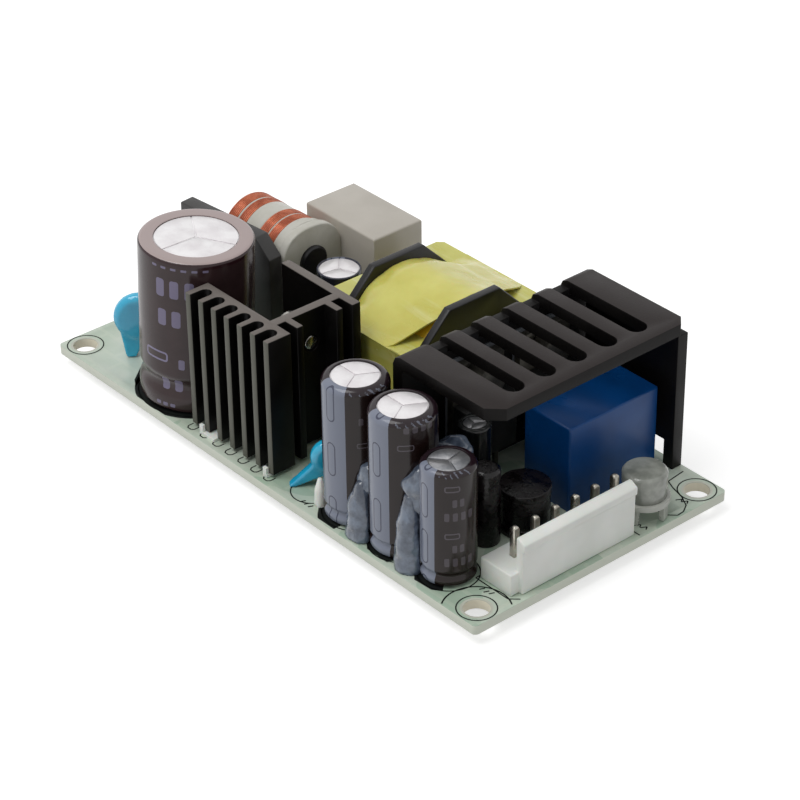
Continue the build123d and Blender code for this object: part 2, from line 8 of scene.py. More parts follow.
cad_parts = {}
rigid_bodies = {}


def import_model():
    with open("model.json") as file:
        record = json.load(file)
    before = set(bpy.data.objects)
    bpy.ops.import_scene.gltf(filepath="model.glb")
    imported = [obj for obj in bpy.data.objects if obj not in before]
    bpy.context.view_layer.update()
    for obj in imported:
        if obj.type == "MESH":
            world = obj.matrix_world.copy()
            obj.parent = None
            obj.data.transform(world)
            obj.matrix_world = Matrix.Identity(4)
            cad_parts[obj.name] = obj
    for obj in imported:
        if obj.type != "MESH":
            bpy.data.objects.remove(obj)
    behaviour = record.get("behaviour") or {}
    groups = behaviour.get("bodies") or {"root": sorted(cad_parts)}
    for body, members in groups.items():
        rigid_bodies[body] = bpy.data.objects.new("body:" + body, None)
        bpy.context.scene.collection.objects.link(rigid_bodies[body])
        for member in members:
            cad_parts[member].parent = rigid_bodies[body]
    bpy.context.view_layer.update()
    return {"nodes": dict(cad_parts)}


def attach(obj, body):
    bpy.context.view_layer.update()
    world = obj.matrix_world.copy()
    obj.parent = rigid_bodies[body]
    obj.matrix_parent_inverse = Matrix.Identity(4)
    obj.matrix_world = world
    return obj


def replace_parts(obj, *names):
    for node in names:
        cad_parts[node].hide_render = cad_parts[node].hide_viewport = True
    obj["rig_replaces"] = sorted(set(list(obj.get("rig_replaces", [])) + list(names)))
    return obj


bpy.ops.object.select_all(action="SELECT")
bpy.ops.object.delete()
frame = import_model()


# Board: glass fibre laminate with a pale green resist, routed to size and drilled in its corners.
# Its outlines are screen printed in black ink, so they stand a hair above the resist.
# Lengths are in mm, and heights are above the board's top, which is the deck.
mm = 0.001
deck = 3.6
hole_spots = ((-47.625, -22.225), (-47.625, 22.225), (47.625, -22.225), (47.625, 22.225))
land_reach, edge_top = 2.4, 3.52
print_lift, print_depth = 0.012, 0.02
fine, bold = 0.2, 0.24


def ink(red, green, blue):
    """The linear colour of three values from 0 to 255."""
    parts = [value / 255 for value in (red, green, blue)]
    return tuple(v / 12.92 if v < 0.04045 else ((v + 0.055) / 1.055) ** 2.4 for v in parts) + (1.0,)


def feed(tree, sockets, values):
    """Feeds inputs by name or number: another node's output is linked, anything else is set."""
    for label, value in values.items():
        if isinstance(value, bpy.types.NodeSocket):
            tree.links.new(value, sockets[label])
        else:
            sockets[label].default_value = value


def node(tree, kind, feeds=None, **settings):
    """Adds one shader node, sets its properties and feeds its inputs."""
    made = tree.nodes.new("ShaderNode" + kind)
    for key, value in settings.items():
        setattr(made, key, value)
    feed(tree, made.inputs, feeds or {})
    return made


def sums(tree, operation, first, second=None):
    """A Math node of outputs or plain numbers; gives its output."""
    feeds = {0: first} if second is None else {0: first, 1: second}
    return node(tree, "Math", feeds, operation=operation).outputs[0]


def blend_colours(tree, factor, first, second):
    """A colour Mix node; each colour is a tuple or an output."""
    return node(tree, "Mix", {0: factor, 6: first, 7: second}, data_type="RGBA").outputs[2]


def object_place(tree):
    """The output that gives a point's place in the frame."""
    return node(tree, "TexCoord").outputs["Object"]


def new_group(name, starts, results):
    """A node group: inputs by name with start values (None is a vector), and outputs by name."""
    tree = bpy.data.node_groups.new(name, "ShaderNodeTree")
    for label, start in starts.items():
        kind = "Vector" if start is None else "Color" if isinstance(start, tuple) else "Float"
        made = tree.interface.new_socket(label, in_out="INPUT", socket_type="NodeSocket" + kind)
        if start is not None:
            made.default_value = start
    for label in results:
        kind = "Color" if label == "Color" else "Float"
        tree.interface.new_socket(label, in_out="OUTPUT", socket_type="NodeSocket" + kind)
    return tree, tree.nodes.new("NodeGroupInput").outputs, tree.nodes.new("NodeGroupOutput").inputs


def make_mottle():
    """Group: two tones in soft patches with fine grain, and the grain's height."""
    starts = {"Vector": None, "Tone": (0.5, 0.5, 0.5, 1), "Other Tone": (0.4, 0.4, 0.4, 1)}
    starts |= {"Patch Scale": 200.0, "Grain Scale": 2500.0, "Grain": 0.3}
    starts |= {"Rough Low": 0.35, "Rough High": 0.5}
    tree, given, result = new_group("mottle", starts, ("Color", "Roughness", "Height"))
    spot = given["Vector"]
    patch = node(tree, "TexNoise", {"Vector": spot, "Scale": given["Patch Scale"], "Detail": 4.0})
    grain = node(tree, "TexNoise", {"Vector": spot, "Scale": given["Grain Scale"], "Detail": 2.0})
    grain = grain.outputs["Fac"]
    spread = node(tree, "MapRange", {"Value": patch.outputs["Fac"], "From Min": 0.35, "From Max": 0.65})
    speck = sums(tree, "MULTIPLY", sums(tree, "SUBTRACT", grain, 0.5), given["Grain"])
    mixed = {0: spread.outputs["Result"], 1: speck}
    mixed = node(tree, "Math", mixed, operation="ADD", use_clamp=True).outputs[0]
    reach = {"Value": mixed, "To Min": given["Rough Low"], "To Max": given["Rough High"]}
    rough = node(tree, "MapRange", reach).outputs["Result"]
    tone = blend_colours(tree, mixed, given["Tone"], given["Other Tone"])
    feed(tree, result, {"Color": tone, "Roughness": rough, "Height": grain})
    return tree


mottle = make_mottle()


def finish_of(name, slot, tone, other, patch, grain, speck, rough, bump, **shader):
    """A material from the mottle group: its slot in the record, which is not used, two tones, the noise
    scales of its patches and grain, the grain's share of the colour, two roughnesses and the bump."""
    material = bpy.data.materials.new(name)
    material.use_nodes = True
    tree = material.node_tree
    feeds = {"Vector": object_place(tree), "Tone": tone, "Other Tone": other, "Patch Scale": patch}
    feeds |= {"Grain Scale": grain, "Grain": speck, "Rough Low": rough[0], "Rough High": rough[1]}
    made = node(tree, "Group", feeds, node_tree=mottle, name="mottle").outputs
    relief = node(tree, "Bump", {"Strength": bump, "Distance": 0.1 * mm, "Height": made["Height"]})
    feeds = {"Base Color": made["Color"], "Roughness": made["Roughness"]}
    feeds |= {"Normal": relief.outputs["Normal"]}
    feeds |= {label.replace("_", " "): value for label, value in shader.items()}
    feed(tree, tree.nodes["Principled BSDF"].inputs, feeds)
    return material


def base_colour(material):
    """The mottled colour of a material, for more to be painted on it."""
    return material.node_tree.nodes["mottle"].outputs["Color"]


def repaint(material, tone):
    """Gives a material's shader another base colour."""
    feed(material.node_tree, material.node_tree.nodes["Principled BSDF"].inputs, {"Base Color": tone})


def give(piece, material):
    """Puts one material on a piece."""
    piece.data.materials.clear()
    piece.data.materials.append(material)


def to_object_mode():
    """Leaves edit mode if a piece is being edited, and deselects everything."""
    if bpy.context.mode != "OBJECT":
        bpy.ops.object.mode_set(mode="OBJECT")
    bpy.ops.object.select_all(action="DESELECT")


def pick(piece):
    """Selects one finished piece alone."""
    to_object_mode()
    piece.select_set(True)
    bpy.context.view_layer.objects.active = piece


def pick_all():
    """Selects all of the piece that is being edited."""
    bpy.ops.mesh.select_all(action="SELECT")


def edit_all():
    """Starts to edit the picked piece, with all of it selected."""
    bpy.ops.object.mode_set(mode="EDIT")
    pick_all()


def modify(piece, kind, **settings):
    """Puts one modifier on a piece and applies it."""
    pick(piece)
    made = piece.modifiers.new("change", kind)
    for key, value in settings.items():
        setattr(made, key, value)
    bpy.ops.object.modifier_apply(modifier=made.name)


def round_off(piece, bevel, segments=2, angle=30):
    """Rounds the sharp edges of a piece by bevel mm."""
    limit = {"limit_method": "ANGLE", "angle_limit": math.radians(angle)}
    modify(piece, "BEVEL", width=bevel * mm, segments=segments, **limit)


def dress(source, name, bevel=0.0, segments=2, smooth=30):
    """Copies a CAD node, merges its facets and rounds its edges by bevel mm."""
    original = frame["nodes"][source]
    original.hide_set(False)
    pick(original)
    bpy.ops.object.duplicate()
    piece = bpy.context.object
    piece.name = piece.data.name = name
    edit_all()
    bpy.ops.mesh.remove_doubles(threshold=0.002 * mm)
    bpy.ops.mesh.dissolve_limited(angle_limit=math.radians(0.6))
    bpy.ops.object.mode_set(mode="OBJECT")
    if bevel:
        round_off(piece, bevel, segments, 32)
    bpy.ops.object.shade_smooth_by_angle(angle=math.radians(smooth))
    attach(piece, "root")
    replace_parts(piece, source)
    return piece


def paint_board(material):
    """Adds copper under the resist, bare laminate on the edges and a pale land round each hole."""
    tree = material.node_tree
    calc, mix = partial(sums, tree), partial(blend_colours, tree)
    place = object_place(tree)
    split = node(tree, "SeparateXYZ", {"Vector": place}).outputs
    warp = node(tree, "TexNoise", {"Vector": place, "Scale": 60.0}).outputs["Fac"]
    copper = calc("MULTIPLY", calc("GREATER_THAN", warp, 0.56), 0.45)
    tone = mix(copper, base_colour(material), ink(140, 172, 148))
    feeds = {"Vector": place, "Scale": 95.0, "Mortar Size": 0.035}
    feeds |= {"Brick Width": 0.62, "Row Height": 0.33}
    tracks = node(tree, "TexBrick", feeds, offset=0.37).outputs["Fac"]
    tone = mix(calc("MULTIPLY", tracks, 0.16), tone, ink(222, 226, 208))
    flat = node(tree, "CombineXYZ", {"X": split["X"], "Y": split["Y"]}).outputs["Vector"]
    nearest = None
    for x, y in hole_spots:
        gap = node(tree, "VectorMath", {0: flat, 1: (x * mm, y * mm, 0)}, operation="DISTANCE")
        gap = gap.outputs["Value"]
        nearest = gap if nearest is None else calc("MINIMUM", nearest, gap)
    land = calc("LESS_THAN", nearest, land_reach * mm)
    side = calc("LESS_THAN", split["Z"], edge_top * mm)
    tone = mix(land, tone, ink(196, 198, 184))
    tone = mix(side, tone, ink(214, 219, 204))
    repaint(material, mix(calc("MULTIPLY", land, side), tone, ink(238, 232, 212)))


resist = finish_of(
    "board_resist", "board", ink(200, 210, 196), ink(184, 199, 181),
    130.0, 1600.0, 0.25, (0.3, 0.42), 0.05,
)
paint_board(resist)
board = dress("board", "board_laminate", 0.08, 2)
give(board, resist)


def open_line(name, start):
    """A new mesh of one vertex at start, in mm above the deck, left in edit mode."""
    to_object_mode()
    spot = (start[0] * mm, start[1] * mm, (deck + start[2]) * mm)
    bpy.ops.mesh.primitive_plane_add(size=2 * mm, location=spot)
    piece = bpy.context.object
    piece.name = piece.data.name = name
    bpy.ops.object.transform_apply(location=True, rotation=True, scale=True)
    bpy.ops.object.mode_set(mode="EDIT")
    bpy.ops.mesh.select_mode(type="VERT")
    pick_all()
    bpy.ops.mesh.merge(type="CENTER")
    return piece


def push_out(step):
    """Extrudes what is selected by a step in mm."""
    bpy.ops.mesh.extrude_region_move(TRANSFORM_OT_translate={"value": [v * mm for v in step]})


def walk(points):
    """Extrudes the selected vertex from point to point, in mm."""
    for here, there in zip(points, points[1:]):
        push_out([b - a for a, b in zip(here, there)])


def spin_all(steps, sweep, centre, axis):
    """Spins the whole open line by sweep degrees about an axis through a centre in mm."""
    pick_all()
    centre = [v * mm for v in centre]
    bpy.ops.mesh.spin(steps=steps, angle=math.radians(sweep), center=centre, axis=axis)


def tidy_shell():
    """Merges doubles and points all faces outwards."""
    pick_all()
    bpy.ops.mesh.remove_doubles(threshold=0.0015 * mm)
    bpy.ops.mesh.normals_make_consistent(inside=False)


def close_piece(piece, material, smooth=35):
    """Leaves edit mode, smooths the shading, gives the material and rides the root body."""
    pick(piece)
    if smooth:
        bpy.ops.object.shade_smooth_by_angle(angle=math.radians(smooth))
    give(piece, material)
    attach(piece, "root")
    return piece


def plate(name, outline, push, material, bevel=0.0, segments=2, smooth=35):
    """A plate: an outline of points is filled, pushed out and its edges rounded."""
    piece = open_line(name, outline[0])
    walk(outline)
    pick_all()
    bpy.ops.mesh.edge_face_add()
    push_out(push)
    tidy_shell()
    if bevel:
        round_off(piece, bevel, segments)
    return close_piece(piece, material, smooth)


def join_pieces(pieces, name):
    """Joins pieces into one mesh."""
    to_object_mode()
    for piece in pieces:
        piece.select_set(True)
    bpy.context.view_layer.objects.active = pieces[0]
    bpy.ops.object.join()
    pieces[0].name = pieces[0].data.name = name
    return pieces[0]


def printed_patch(corners):
    """A solid printed area."""
    outline = [(x, y, print_lift) for x, y in corners]
    return plate("stroke", outline, (0, 0, print_depth), print_ink)


def stroke(points, width=fine):
    """One printed line along flat points, as thin ribbons."""
    bits = []
    for (ax, ay), (bx, by) in zip(points, points[1:]):
        run = math.hypot(bx - ax, by - ay)
        nx = -(by - ay) / run * width / 2
        ny = (bx - ax) / run * width / 2
        corners = ((ax + nx, ay + ny), (ax - nx, ay - ny), (bx - nx, by - ny), (bx + nx, by + ny))
        bits.append(printed_patch(corners))
    return bits


def arc_points(x, y, radius, start, end, count):
    """Points on an arc, angles in degrees."""
    turns = [math.radians(start + (end - start) * i / count) for i in range(count + 1)]
    return [(x + radius * math.cos(t), y + radius * math.sin(t)) for t in turns]


def printed_arc(x, y, radius, start, end, width, count):
    """A printed arc: a short line across the stroke, spun round the centre."""
    turn = math.radians(start)
    ends = [
        (x + r * math.cos(turn), y + r * math.sin(turn), print_lift)
        for r in (radius - width / 2, radius + width / 2)
    ]
    piece = open_line("stroke", ends[0])
    walk(ends)
    spin_all(count, end - start, (x, y, 0), (0, 0, -1))
    pick_all()
    push_out((0, 0, print_depth))
    tidy_shell()
    return close_piece(piece, print_ink, 0)


print_ink = finish_of(
    "print_ink", "board", ink(12, 14, 14), ink(24, 28, 26),
    400.0, 3000.0, 0.4, (0.6, 0.7), 0.05, Specular_IOR_Level=0.15,
)
prints = [printed_arc(x, y, 2.95, 0, 360, fine, 48) for x, y in hole_spots]
prints.append(printed_arc(47.625, -22.225, 5.05, 58, 217, bold, 24))
bulk_spot = (-25.75, -15.95)
for x, y, radius in ((18.0, -19.2, 5.45), (28.6, -19.3, 5.45), (38.6, -19.5, 4.6), (*bulk_spot, 9.35)):
    prints.append(printed_arc(x, y, radius, 0, 360, fine, 56))
for x, y, marks in (
    (18.0, -19.2, ((-5.0, -3.4), (-3.2, -5.2), (-2.4, -5.85), (1.35, -5.85), (1.4, -4.6), (0.2, -1.0))),
    (28.6, -19.3, ((-4.6, -3.3), (-3.0, -4.6), (-2.2, -5.3), (2.3, -5.3), (2.6, -4.3), (0.4, -1.0))),
    (38.6, -19.5, ((-3.9, -3.1), (-2.6, -4.3), (-1.9, -4.9), (1.5, -4.7), (2.9, -3.7), (0.4, -1.0))),
):
    prints.append(printed_patch([(x + a, y + b) for a, b in marks]))
board_rim = -25.2
sector = [(x, max(y, board_rim)) for x, y in arc_points(*bulk_spot, 9.95, 190, 322, 40)]
prints.append(printed_patch(sector + [bulk_spot]))
sliver = ((-36.4, -16.4), (-36.4, -19.2), (-33.6, -22.6), (-31.6, -23.8), (-34.6, -19.8), (-35.5, -16.4))
prints.append(printed_patch(sliver))
foot_hoop = ((-0.75, -23.2), (-0.75, -24.2), (-0.4, -24.6), (0.4, -24.6), (0.75, -24.2), (0.75, -23.2))
comb_start, comb_pitch = -16.4, 3.158
for i in range(7):
    prints += stroke([(comb_start + comb_pitch * i + a, b) for a, b in foot_hoop])
prints.append(printed_arc(9.6, -21.0, 3.4, 150, 345, fine, 24))
header_top = ((42.2, -17.5), (49.0, -17.5), (50.2, -16.2))
header_side = ((42.2, -17.5), (42.2, 7.5), (50.3, 7.5))
fuse_line = ((42.8, 24.2), (43.2, 20.6), (44.9, 19.9), (47.4, 19.2), (49.4, 18.1))
fuse_line += ((50.3, 16.6), (50.4, 15.3), (49.3, 14.2), (47.8, 13.9))
for line in (header_top, header_side, fuse_line):
    prints += stroke(line)
short_marks = ((10.6, -24.3), (11.5, -24.3), (12.4, -24.3), (33.4, -24.6), (34.3, -24.6))
short_marks += ((35.2, -24.6), (44.6, -19.0), (45.5, -19.0), (46.3, -18.7))
for x, y in short_marks:
    prints += stroke(((x, y), (x + 0.35, y + 0.8)), bold)
for x, y in ((48.0, 8.6), (49.0, 8.9), (47.4, 17.9), (48.3, 18.2)):
    prints += stroke(((x, y), (x + 0.5, y + 0.9), (x + 0.9, y + 0.3)))
board_print = join_pieces(prints, "board_print")
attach(board_print, "root")


# Solder joints: bright tin alloy cones round the trimmed leads on the underside.
# The board is drawn over a wave of molten solder, which leaves them as it cools.
solder = finish_of(
    "solder_alloy", "solder", ink(178, 178, 174), ink(140, 141, 140),
    900.0, 4000.0, 0.3, (0.22, 0.45), 0.2, Metallic=1.0,
)
give(dress("solder_joints", "solder_cones", smooth=60), solder)


# Electrolytic capacitors: rolled foil in a deep drawn aluminium can, crimped near its foot over a
# rubber bung. A printed sleeve is shrunk over the can and its rim curls in round the vented top.
# Facts: x, y, radius, height, groove's height, opening's share of the radius, shoulder, lean.
sleeve_facts = {
    "bulk_capacitor": (-25.75, -15.95, 9.1, 27.19, 4.6, 0.73, 0.6, 2.4),
    "output_capacitor_a": (18.0, -19.2, 5.1, 23.9, 2.2, 0.73, 1.15, 0),
    "output_capacitor_b": (28.6, -19.3, 5.1, 23.8, 2.2, 0.73, 1.15, 0),
    "output_capacitor_c": (38.6, -19.5, 4.15, 19.6, 2.0, 0.73, 0.95, 0),
    "aux_capacitor": (-19.0, 8.2, 3.6, 15.2, 1.8, 0.92, 0.3, 0),
    "control_capacitor": (28.7, -5.65, 2.5, 15.0, 1.5, 0.7, 0.5, 0),
}
lean_axis = (-0.762, 0.648, 0)
large_radius = 6
row_labels = ("Start", "End", "Pitch", "Middle", "Half Width", "Half Height", "Line")


def make_block_row():
    """Group: a row of blocks with round corners, outlined or filled, on a sheet in metres."""
    starts = {"Across": 0.0, "Up": 0.0} | {label: 1 * mm for label in row_labels} | {"Fill": 0.0}
    tree, given, result = new_group("block_row", starts, ("Mask",))
    calc = partial(sums, tree)
    wide, tall, across = given["Half Width"], given["Half Height"], given["Across"]
    local = calc("FLOORED_MODULO", calc("SUBTRACT", across, given["Start"]), given["Pitch"])
    local = calc("ABSOLUTE", calc("SUBTRACT", local, calc("MULTIPLY", given["Pitch"], 0.5)))
    rise = calc("ABSOLUTE", calc("SUBTRACT", given["Up"], given["Middle"]))
    corner = calc("MULTIPLY", calc("MINIMUM", wide, tall), 0.6)
    over = calc("SUBTRACT", local, calc("SUBTRACT", wide, corner))
    above = calc("SUBTRACT", rise, calc("SUBTRACT", tall, corner))
    over = calc("POWER", calc("MAXIMUM", over, 0.0), 2.0)
    above = calc("POWER", calc("MAXIMUM", above, 0.0), 2.0)
    distance = calc("SQRT", calc("ADD", over, above))
    edge = calc("ABSOLUTE", calc("SUBTRACT", distance, corner))
    inside = calc("MULTIPLY", calc("LESS_THAN", distance, corner), given["Fill"])
    drawn = calc("MAXIMUM", calc("LESS_THAN", edge, given["Line"]), inside)
    begun = calc("GREATER_THAN", across, given["Start"])
    ended = calc("LESS_THAN", across, given["End"])
    feed(tree, result, {"Mask": calc("MULTIPLY", drawn, calc("MULTIPLY", begun, ended))})
    return tree


def make_sleeve_print():
    """Group: a stripe with pill outlines along one side, a rim tone with a dark band under it, and short
    marks on the front of the shoulder. On the bulk capacitor the rim tone is painted light on its top rim and
    the band is painted shade on its shoulder; the shoulder marks are painted glints.
    """
    plain = (0.1, 0.1, 0.1, 1)
    starts = {"Vector": None, "Base": plain, "Stripe": plain, "Line": plain, "Rim": plain, "Band": plain}
    starts |= {"Half Angle": 0.5, "Radius": 5 * mm, "Rim Height": 20 * mm, "Band Height": 20 * mm}
    starts |= {"Pill Pitch": 9.6 * mm, "Pill Start": 0.0, "Pill Half": 2.8 * mm, "Pill Width": 0.75 * mm}
    starts |= {"Shoulder Glint": 0.0}
    tree, given, result = new_group("sleeve_print", starts, ("Color", "Across", "Up"))
    calc, mix = partial(sums, tree), partial(blend_colours, tree)
    split = node(tree, "SeparateXYZ", {"Vector": given["Vector"]}).outputs
    up = split["Z"]
    angle = calc("ARCTAN2", split["Y"], split["X"])
    size = calc("ABSOLUTE", angle)
    stripe = calc("LESS_THAN", size, given["Half Angle"])
    across = calc("MULTIPLY", size, given["Radius"])
    local = calc("FLOORED_MODULO", calc("SUBTRACT", up, given["Pill Start"]), given["Pill Pitch"])
    local = calc("SUBTRACT", local, calc("MULTIPLY", given["Pill Pitch"], 0.5))
    reach = calc("SUBTRACT", given["Pill Half"], given["Pill Width"])
    along = calc("MAXIMUM", calc("SUBTRACT", calc("ABSOLUTE", local), reach), 0.0)
    distance = calc("SQRT", calc("ADD", calc("POWER", across, 2.0), calc("POWER", along, 2.0)))
    distance = calc("ABSOLUTE", calc("SUBTRACT", distance, given["Pill Width"]))
    line = calc("MULTIPLY", calc("LESS_THAN", distance, 0.11 * mm), stripe)
    rim = calc("GREATER_THAN", up, given["Rim Height"])
    band = calc("GREATER_THAN", up, given["Band Height"])
    # Painted glints: short wavy marks in the stripe tone on the front of the shoulder, just round the rim's
    # height, stand in for light on the film's crinkles.
    grain = node(tree, "TexNoise", {"Vector": given["Vector"], "Scale": 900.0}).outputs["Fac"]
    wave = calc("ADD", calc("MULTIPLY", up, 260.0), calc("MULTIPLY", grain, 0.35))
    shoulder_glint = calc("LESS_THAN", calc("FLOORED_MODULO", calc("ADD", angle, wave), 0.23), 0.07)
    front = calc("LESS_THAN", calc("ABSOLUTE", calc("SUBTRACT", angle, 1.25)), 0.62)
    shoulder_glint = calc("MULTIPLY", calc("MULTIPLY", shoulder_glint, front), given["Shoulder Glint"])
    shoulder_glint = calc("MULTIPLY", shoulder_glint, calc("GREATER_THAN", grain, 0.47))
    low = calc("GREATER_THAN", up, calc("SUBTRACT", given["Rim Height"], 0.1 * mm))
    high = calc("LESS_THAN", up, calc("ADD", given["Rim Height"], 0.55 * mm))
    shoulder_glint = calc("MULTIPLY", shoulder_glint, calc("MULTIPLY", low, high))
    # On the bulk capacitor, the rim tone is painted light on its top rim and the band is painted shade on its
    # shoulder.
    tone = mix(rim, mix(band, given["Base"], given["Band"]), given["Rim"])
    tone = mix(calc("MULTIPLY", stripe, 0.96), tone, given["Stripe"])
    tone = mix(line, tone, given["Line"])
    tone = mix(calc("MULTIPLY", shoulder_glint, 0.55), tone, given["Stripe"])
    feed(tree, result, {"Color": tone, "Across": calc("MULTIPLY", angle, given["Radius"]), "Up": up})
    return tree


block_row, sleeve_print = make_block_row(), make_sleeve_print()
# Rows of plain blocks: start, end, pitch, middle, half width, half height, half line, in mm round
# and up the sleeve from the middle of its print. A block with no line is filled.
short_row = (
    (3.3, 5.9, 2.6, 17.1, 1.05, 0.4, 0.1),
    (4.4, 6.6, 1.1, 14.7, 0.34, 0.65, 0),
    (3.2, 8.1, 1.22, 12.4, 0.36, 0.7, 0),
    (3.3, 5.9, 2.6, 9.1, 1.05, 0.4, 0.1),
    (4.4, 6.6, 1.1, 6.9, 0.34, 0.65, 0),
    (3.2, 8.1, 1.22, 4.6, 0.36, 0.7, 0),
)
print_rows = {
    "bulk_capacitor": (
        (-6.8, 0.55, 2.45, 22.3, 0.74, 1.55, 0),
        (-6.5, -1.6, 2.45, 17.1, 0.74, 1.45, 0),
        (-8.8, -4.3, 4.5, 9.9, 2.1, 0.7, 0.16),
        (-2.7, -1.3, 1.4, 9.1, 0.5, 0.9, 0),
        (-6.3, -1.5, 2.4, 4.9, 0.7, 1.1, 0),
        (-6.8, -2.9, 1.3, 1.35, 0.42, 0.3, 0),
        (-7.5, 2.7, 1.7, 25.9, 0.45, 0.2, 0),
    ),
    "output_capacitor_a": ((4.45, 5.35, 0.9, 18.8, 0.34, 0.6, 0), (4.1, 6.1, 2.0, 14.7, 0.8, 0.36, 0.08)),
    "output_capacitor_b": ((4.2, 9.4, 1.3, 22.5, 0.42, 0.5, 0), (3.45, 6.05, 2.6, 19.6, 1.15, 0.42, 0.09)),
    "output_capacitor_c": short_row,
}


def sleeve_finish(name, base, rim, stripe, facing, half_angle, start, pitch, shoulder_glint):
    """Glossy shrink film with its own print, centred on one capacitor."""
    x, y, radius, height, groove, lip, shoulder, lean = sleeve_facts[name]
    shade = tuple(v * 0.8 for v in base[:3]) + (1.0,)
    film = finish_of(
        name + "_film", "sleeve", base, shade,
        350.0, 900.0, 0.2, (0.14, 0.22), 0.06, Specular_IOR_Level=0.36,
    )
    tree = film.node_tree
    turn = Matrix.Rotation(math.radians(lean), 3, lean_axis) @ Matrix.Rotation(math.radians(facing), 3, "Z")
    feeds = {"Vector": object_place(tree), "Location": (x * mm, y * mm, deck * mm)}
    feeds |= {"Rotation": turn.to_euler("XYZ")}
    centre = node(tree, "Mapping", feeds, vector_type="TEXTURE").outputs["Vector"]
    large = radius > large_radius
    # On the large capacitor, the rim tone above rim_height is painted light, and the band between band_height
    # and rim_height is painted shade on the shoulder.
    rim_height = height - (0.16 if large else shoulder * 0.62)
    band_height = height - 1.0 if large else rim_height
    feeds = {"Vector": centre, "Base": base_colour(film), "Stripe": stripe, "Line": ink(70, 74, 92)}
    feeds |= {"Rim": rim, "Band": ink(48, 26, 30), "Half Angle": math.radians(half_angle)}
    feeds |= {"Radius": radius * mm, "Rim Height": rim_height * mm, "Band Height": band_height * mm}
    feeds |= {"Pill Pitch": pitch * mm, "Pill Start": start * mm, "Shoulder Glint": shoulder_glint}
    wrapped = node(tree, "Group", feeds, node_tree=sleeve_print).outputs
    tone = wrapped["Color"]
    strength, block_tone = (0.7, ink(150, 144, 178)) if large else (0.5, ink(116, 110, 120))
    for row in print_rows.get(name, ()):
        feeds = {label: value * mm for label, value in zip(row_labels, row)}
        feeds |= {"Across": wrapped["Across"], "Up": wrapped["Up"], "Fill": 0.0 if row[6] else 0.8}
        mask = node(tree, "Group", feeds, node_tree=block_row).outputs["Mask"]
        tone = blend_colours(tree, sums(tree, "MULTIPLY", mask, strength), tone, block_tone)
    repaint(film, tone)
    return film


def spun(name, x, y, profile, material, steps=96, smooth=40):
    """A turned piece: (radius, height) points spun about an upright axis."""
    piece = open_line(name, (x + profile[0][0], y, profile[0][1]))
    walk([(r, 0, z) for r, z in profile])
    spin_all(steps, 360, (x, y, 0), (0, 0, 1))
    tidy_shell()
    return close_piece(piece, material, smooth)


def lean_over(pieces, x, y, degrees, axis):
    """Tilts finished pieces about a level line through the foot of the capacitor."""
    foot = Vector((x, y, deck)) * mm
    turn = Matrix.Translation(foot) @ Matrix.Rotation(math.radians(degrees), 4, axis)
    turn = turn @ Matrix.Translation(-foot)
    for piece in pieces:
        pick(piece)
        piece.matrix_world = turn @ piece.matrix_world
        bpy.ops.object.transform_apply(location=True, rotation=True, scale=True)


def capacitor_sleeve(name, film):
    """The sleeve: curled rim, rounded shoulder, straight wall, crimp and foot."""
    x, y, radius, height, groove, lip, shoulder, lean = sleeve_facts[name]
    inner = radius * lip
    across = radius - inner
    sunk = height - 0.45
    profile = [(0, sunk), (inner, sunk), (inner, height - 0.12), (inner + 0.06, height - 0.03)]
    flat = max(across - shoulder * 1.15, 0.1)
    profile.append((inner + flat * 0.6, height))
    for i in range(9):
        t = math.radians(90 * i / 8)
        out = inner + flat + (across - flat) * math.sin(t)
        profile.append((out, height - shoulder * (1 - math.cos(t))))
    dip, spread = (0.75, 2.3) if radius > large_radius else (0.4, 0.9)
    profile.append((radius, groove + spread + 0.2))
    for i in range(17):
        t = math.tau * i / 16
        profile.append((radius - dip * (1 - math.cos(t)) / 2, groove + spread * (1 - i / 8)))
    profile += [(radius, 0.8), (radius - 0.12, 0.5), (radius - 0.5, 0.34), (0, 0.34)]
    return spun(name + "_film", x, y, profile, film)


def capacitor_top(name, turn, metal):
    """The can and its top, pressed into three leaves that open as a vent."""
    x, y, radius, height, groove, lip, shoulder, lean = sleeve_facts[name]
    inner = radius * lip
    wall = radius - 0.3
    disc = [(0, height - 0.32), (inner + 0.05, height - 0.32), (inner + 0.05, height - 0.6)]
    disc += [(wall, height - 1.4), (wall, height - 2.6), (0, height - 2.6)]
    pieces = [spun(name + "_can", x, y, disc, metal, 72)]
    gap = 0.055 + 0.008 * radius
    reach = inner - 0.12
    edge = math.degrees(math.asin(gap / reach))
    corner = gap / math.sin(math.radians(60))
    for start in (turn, turn + 120, turn + 240):
        mid = math.radians(start + 60)
        outline = [(x + corner * math.cos(mid), y + corner * math.sin(mid))]
        outline += arc_points(x, y, reach, start + edge, start + 120 - edge, 14)
        outline = [(a, b, height - 0.34) for a, b in outline]
        pieces.append(plate("leaf", outline, (0, 0, 0.2), metal, 0.07, smooth=40))
    made = join_pieces(pieces, name + "_can_top")
    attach(made, "root")
    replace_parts(made, name + "_can")
    return made


aluminium = finish_of(
    "can_aluminium", "can", ink(244, 242, 243), ink(226, 222, 224),
    300.0, 3500.0, 0.3, (0.3, 0.44), 0.12, Metallic=0.45,
)
# A darker, more metallic aluminium for the tops of the third output capacitor and the control capacitor.
darker_aluminium = finish_of(
    "small_can_aluminium", "can", ink(182, 182, 184), ink(128, 130, 134),
    420.0, 3000.0, 0.5, (0.3, 0.45), 0.3, Metallic=0.85,
)
lavender = ink(128, 134, 150)
output_tones = (ink(33, 21, 19), ink(34, 22, 28), lavender)
# The bulk capacitor's second tone is painted light on its top rim.
bulk_tones = (ink(58, 42, 43), ink(172, 156, 154), lavender)
aux_tones = (ink(40, 42, 52), ink(70, 72, 84), lavender)
control_tones = (ink(18, 20, 20), ink(40, 42, 42), ink(96, 100, 100))
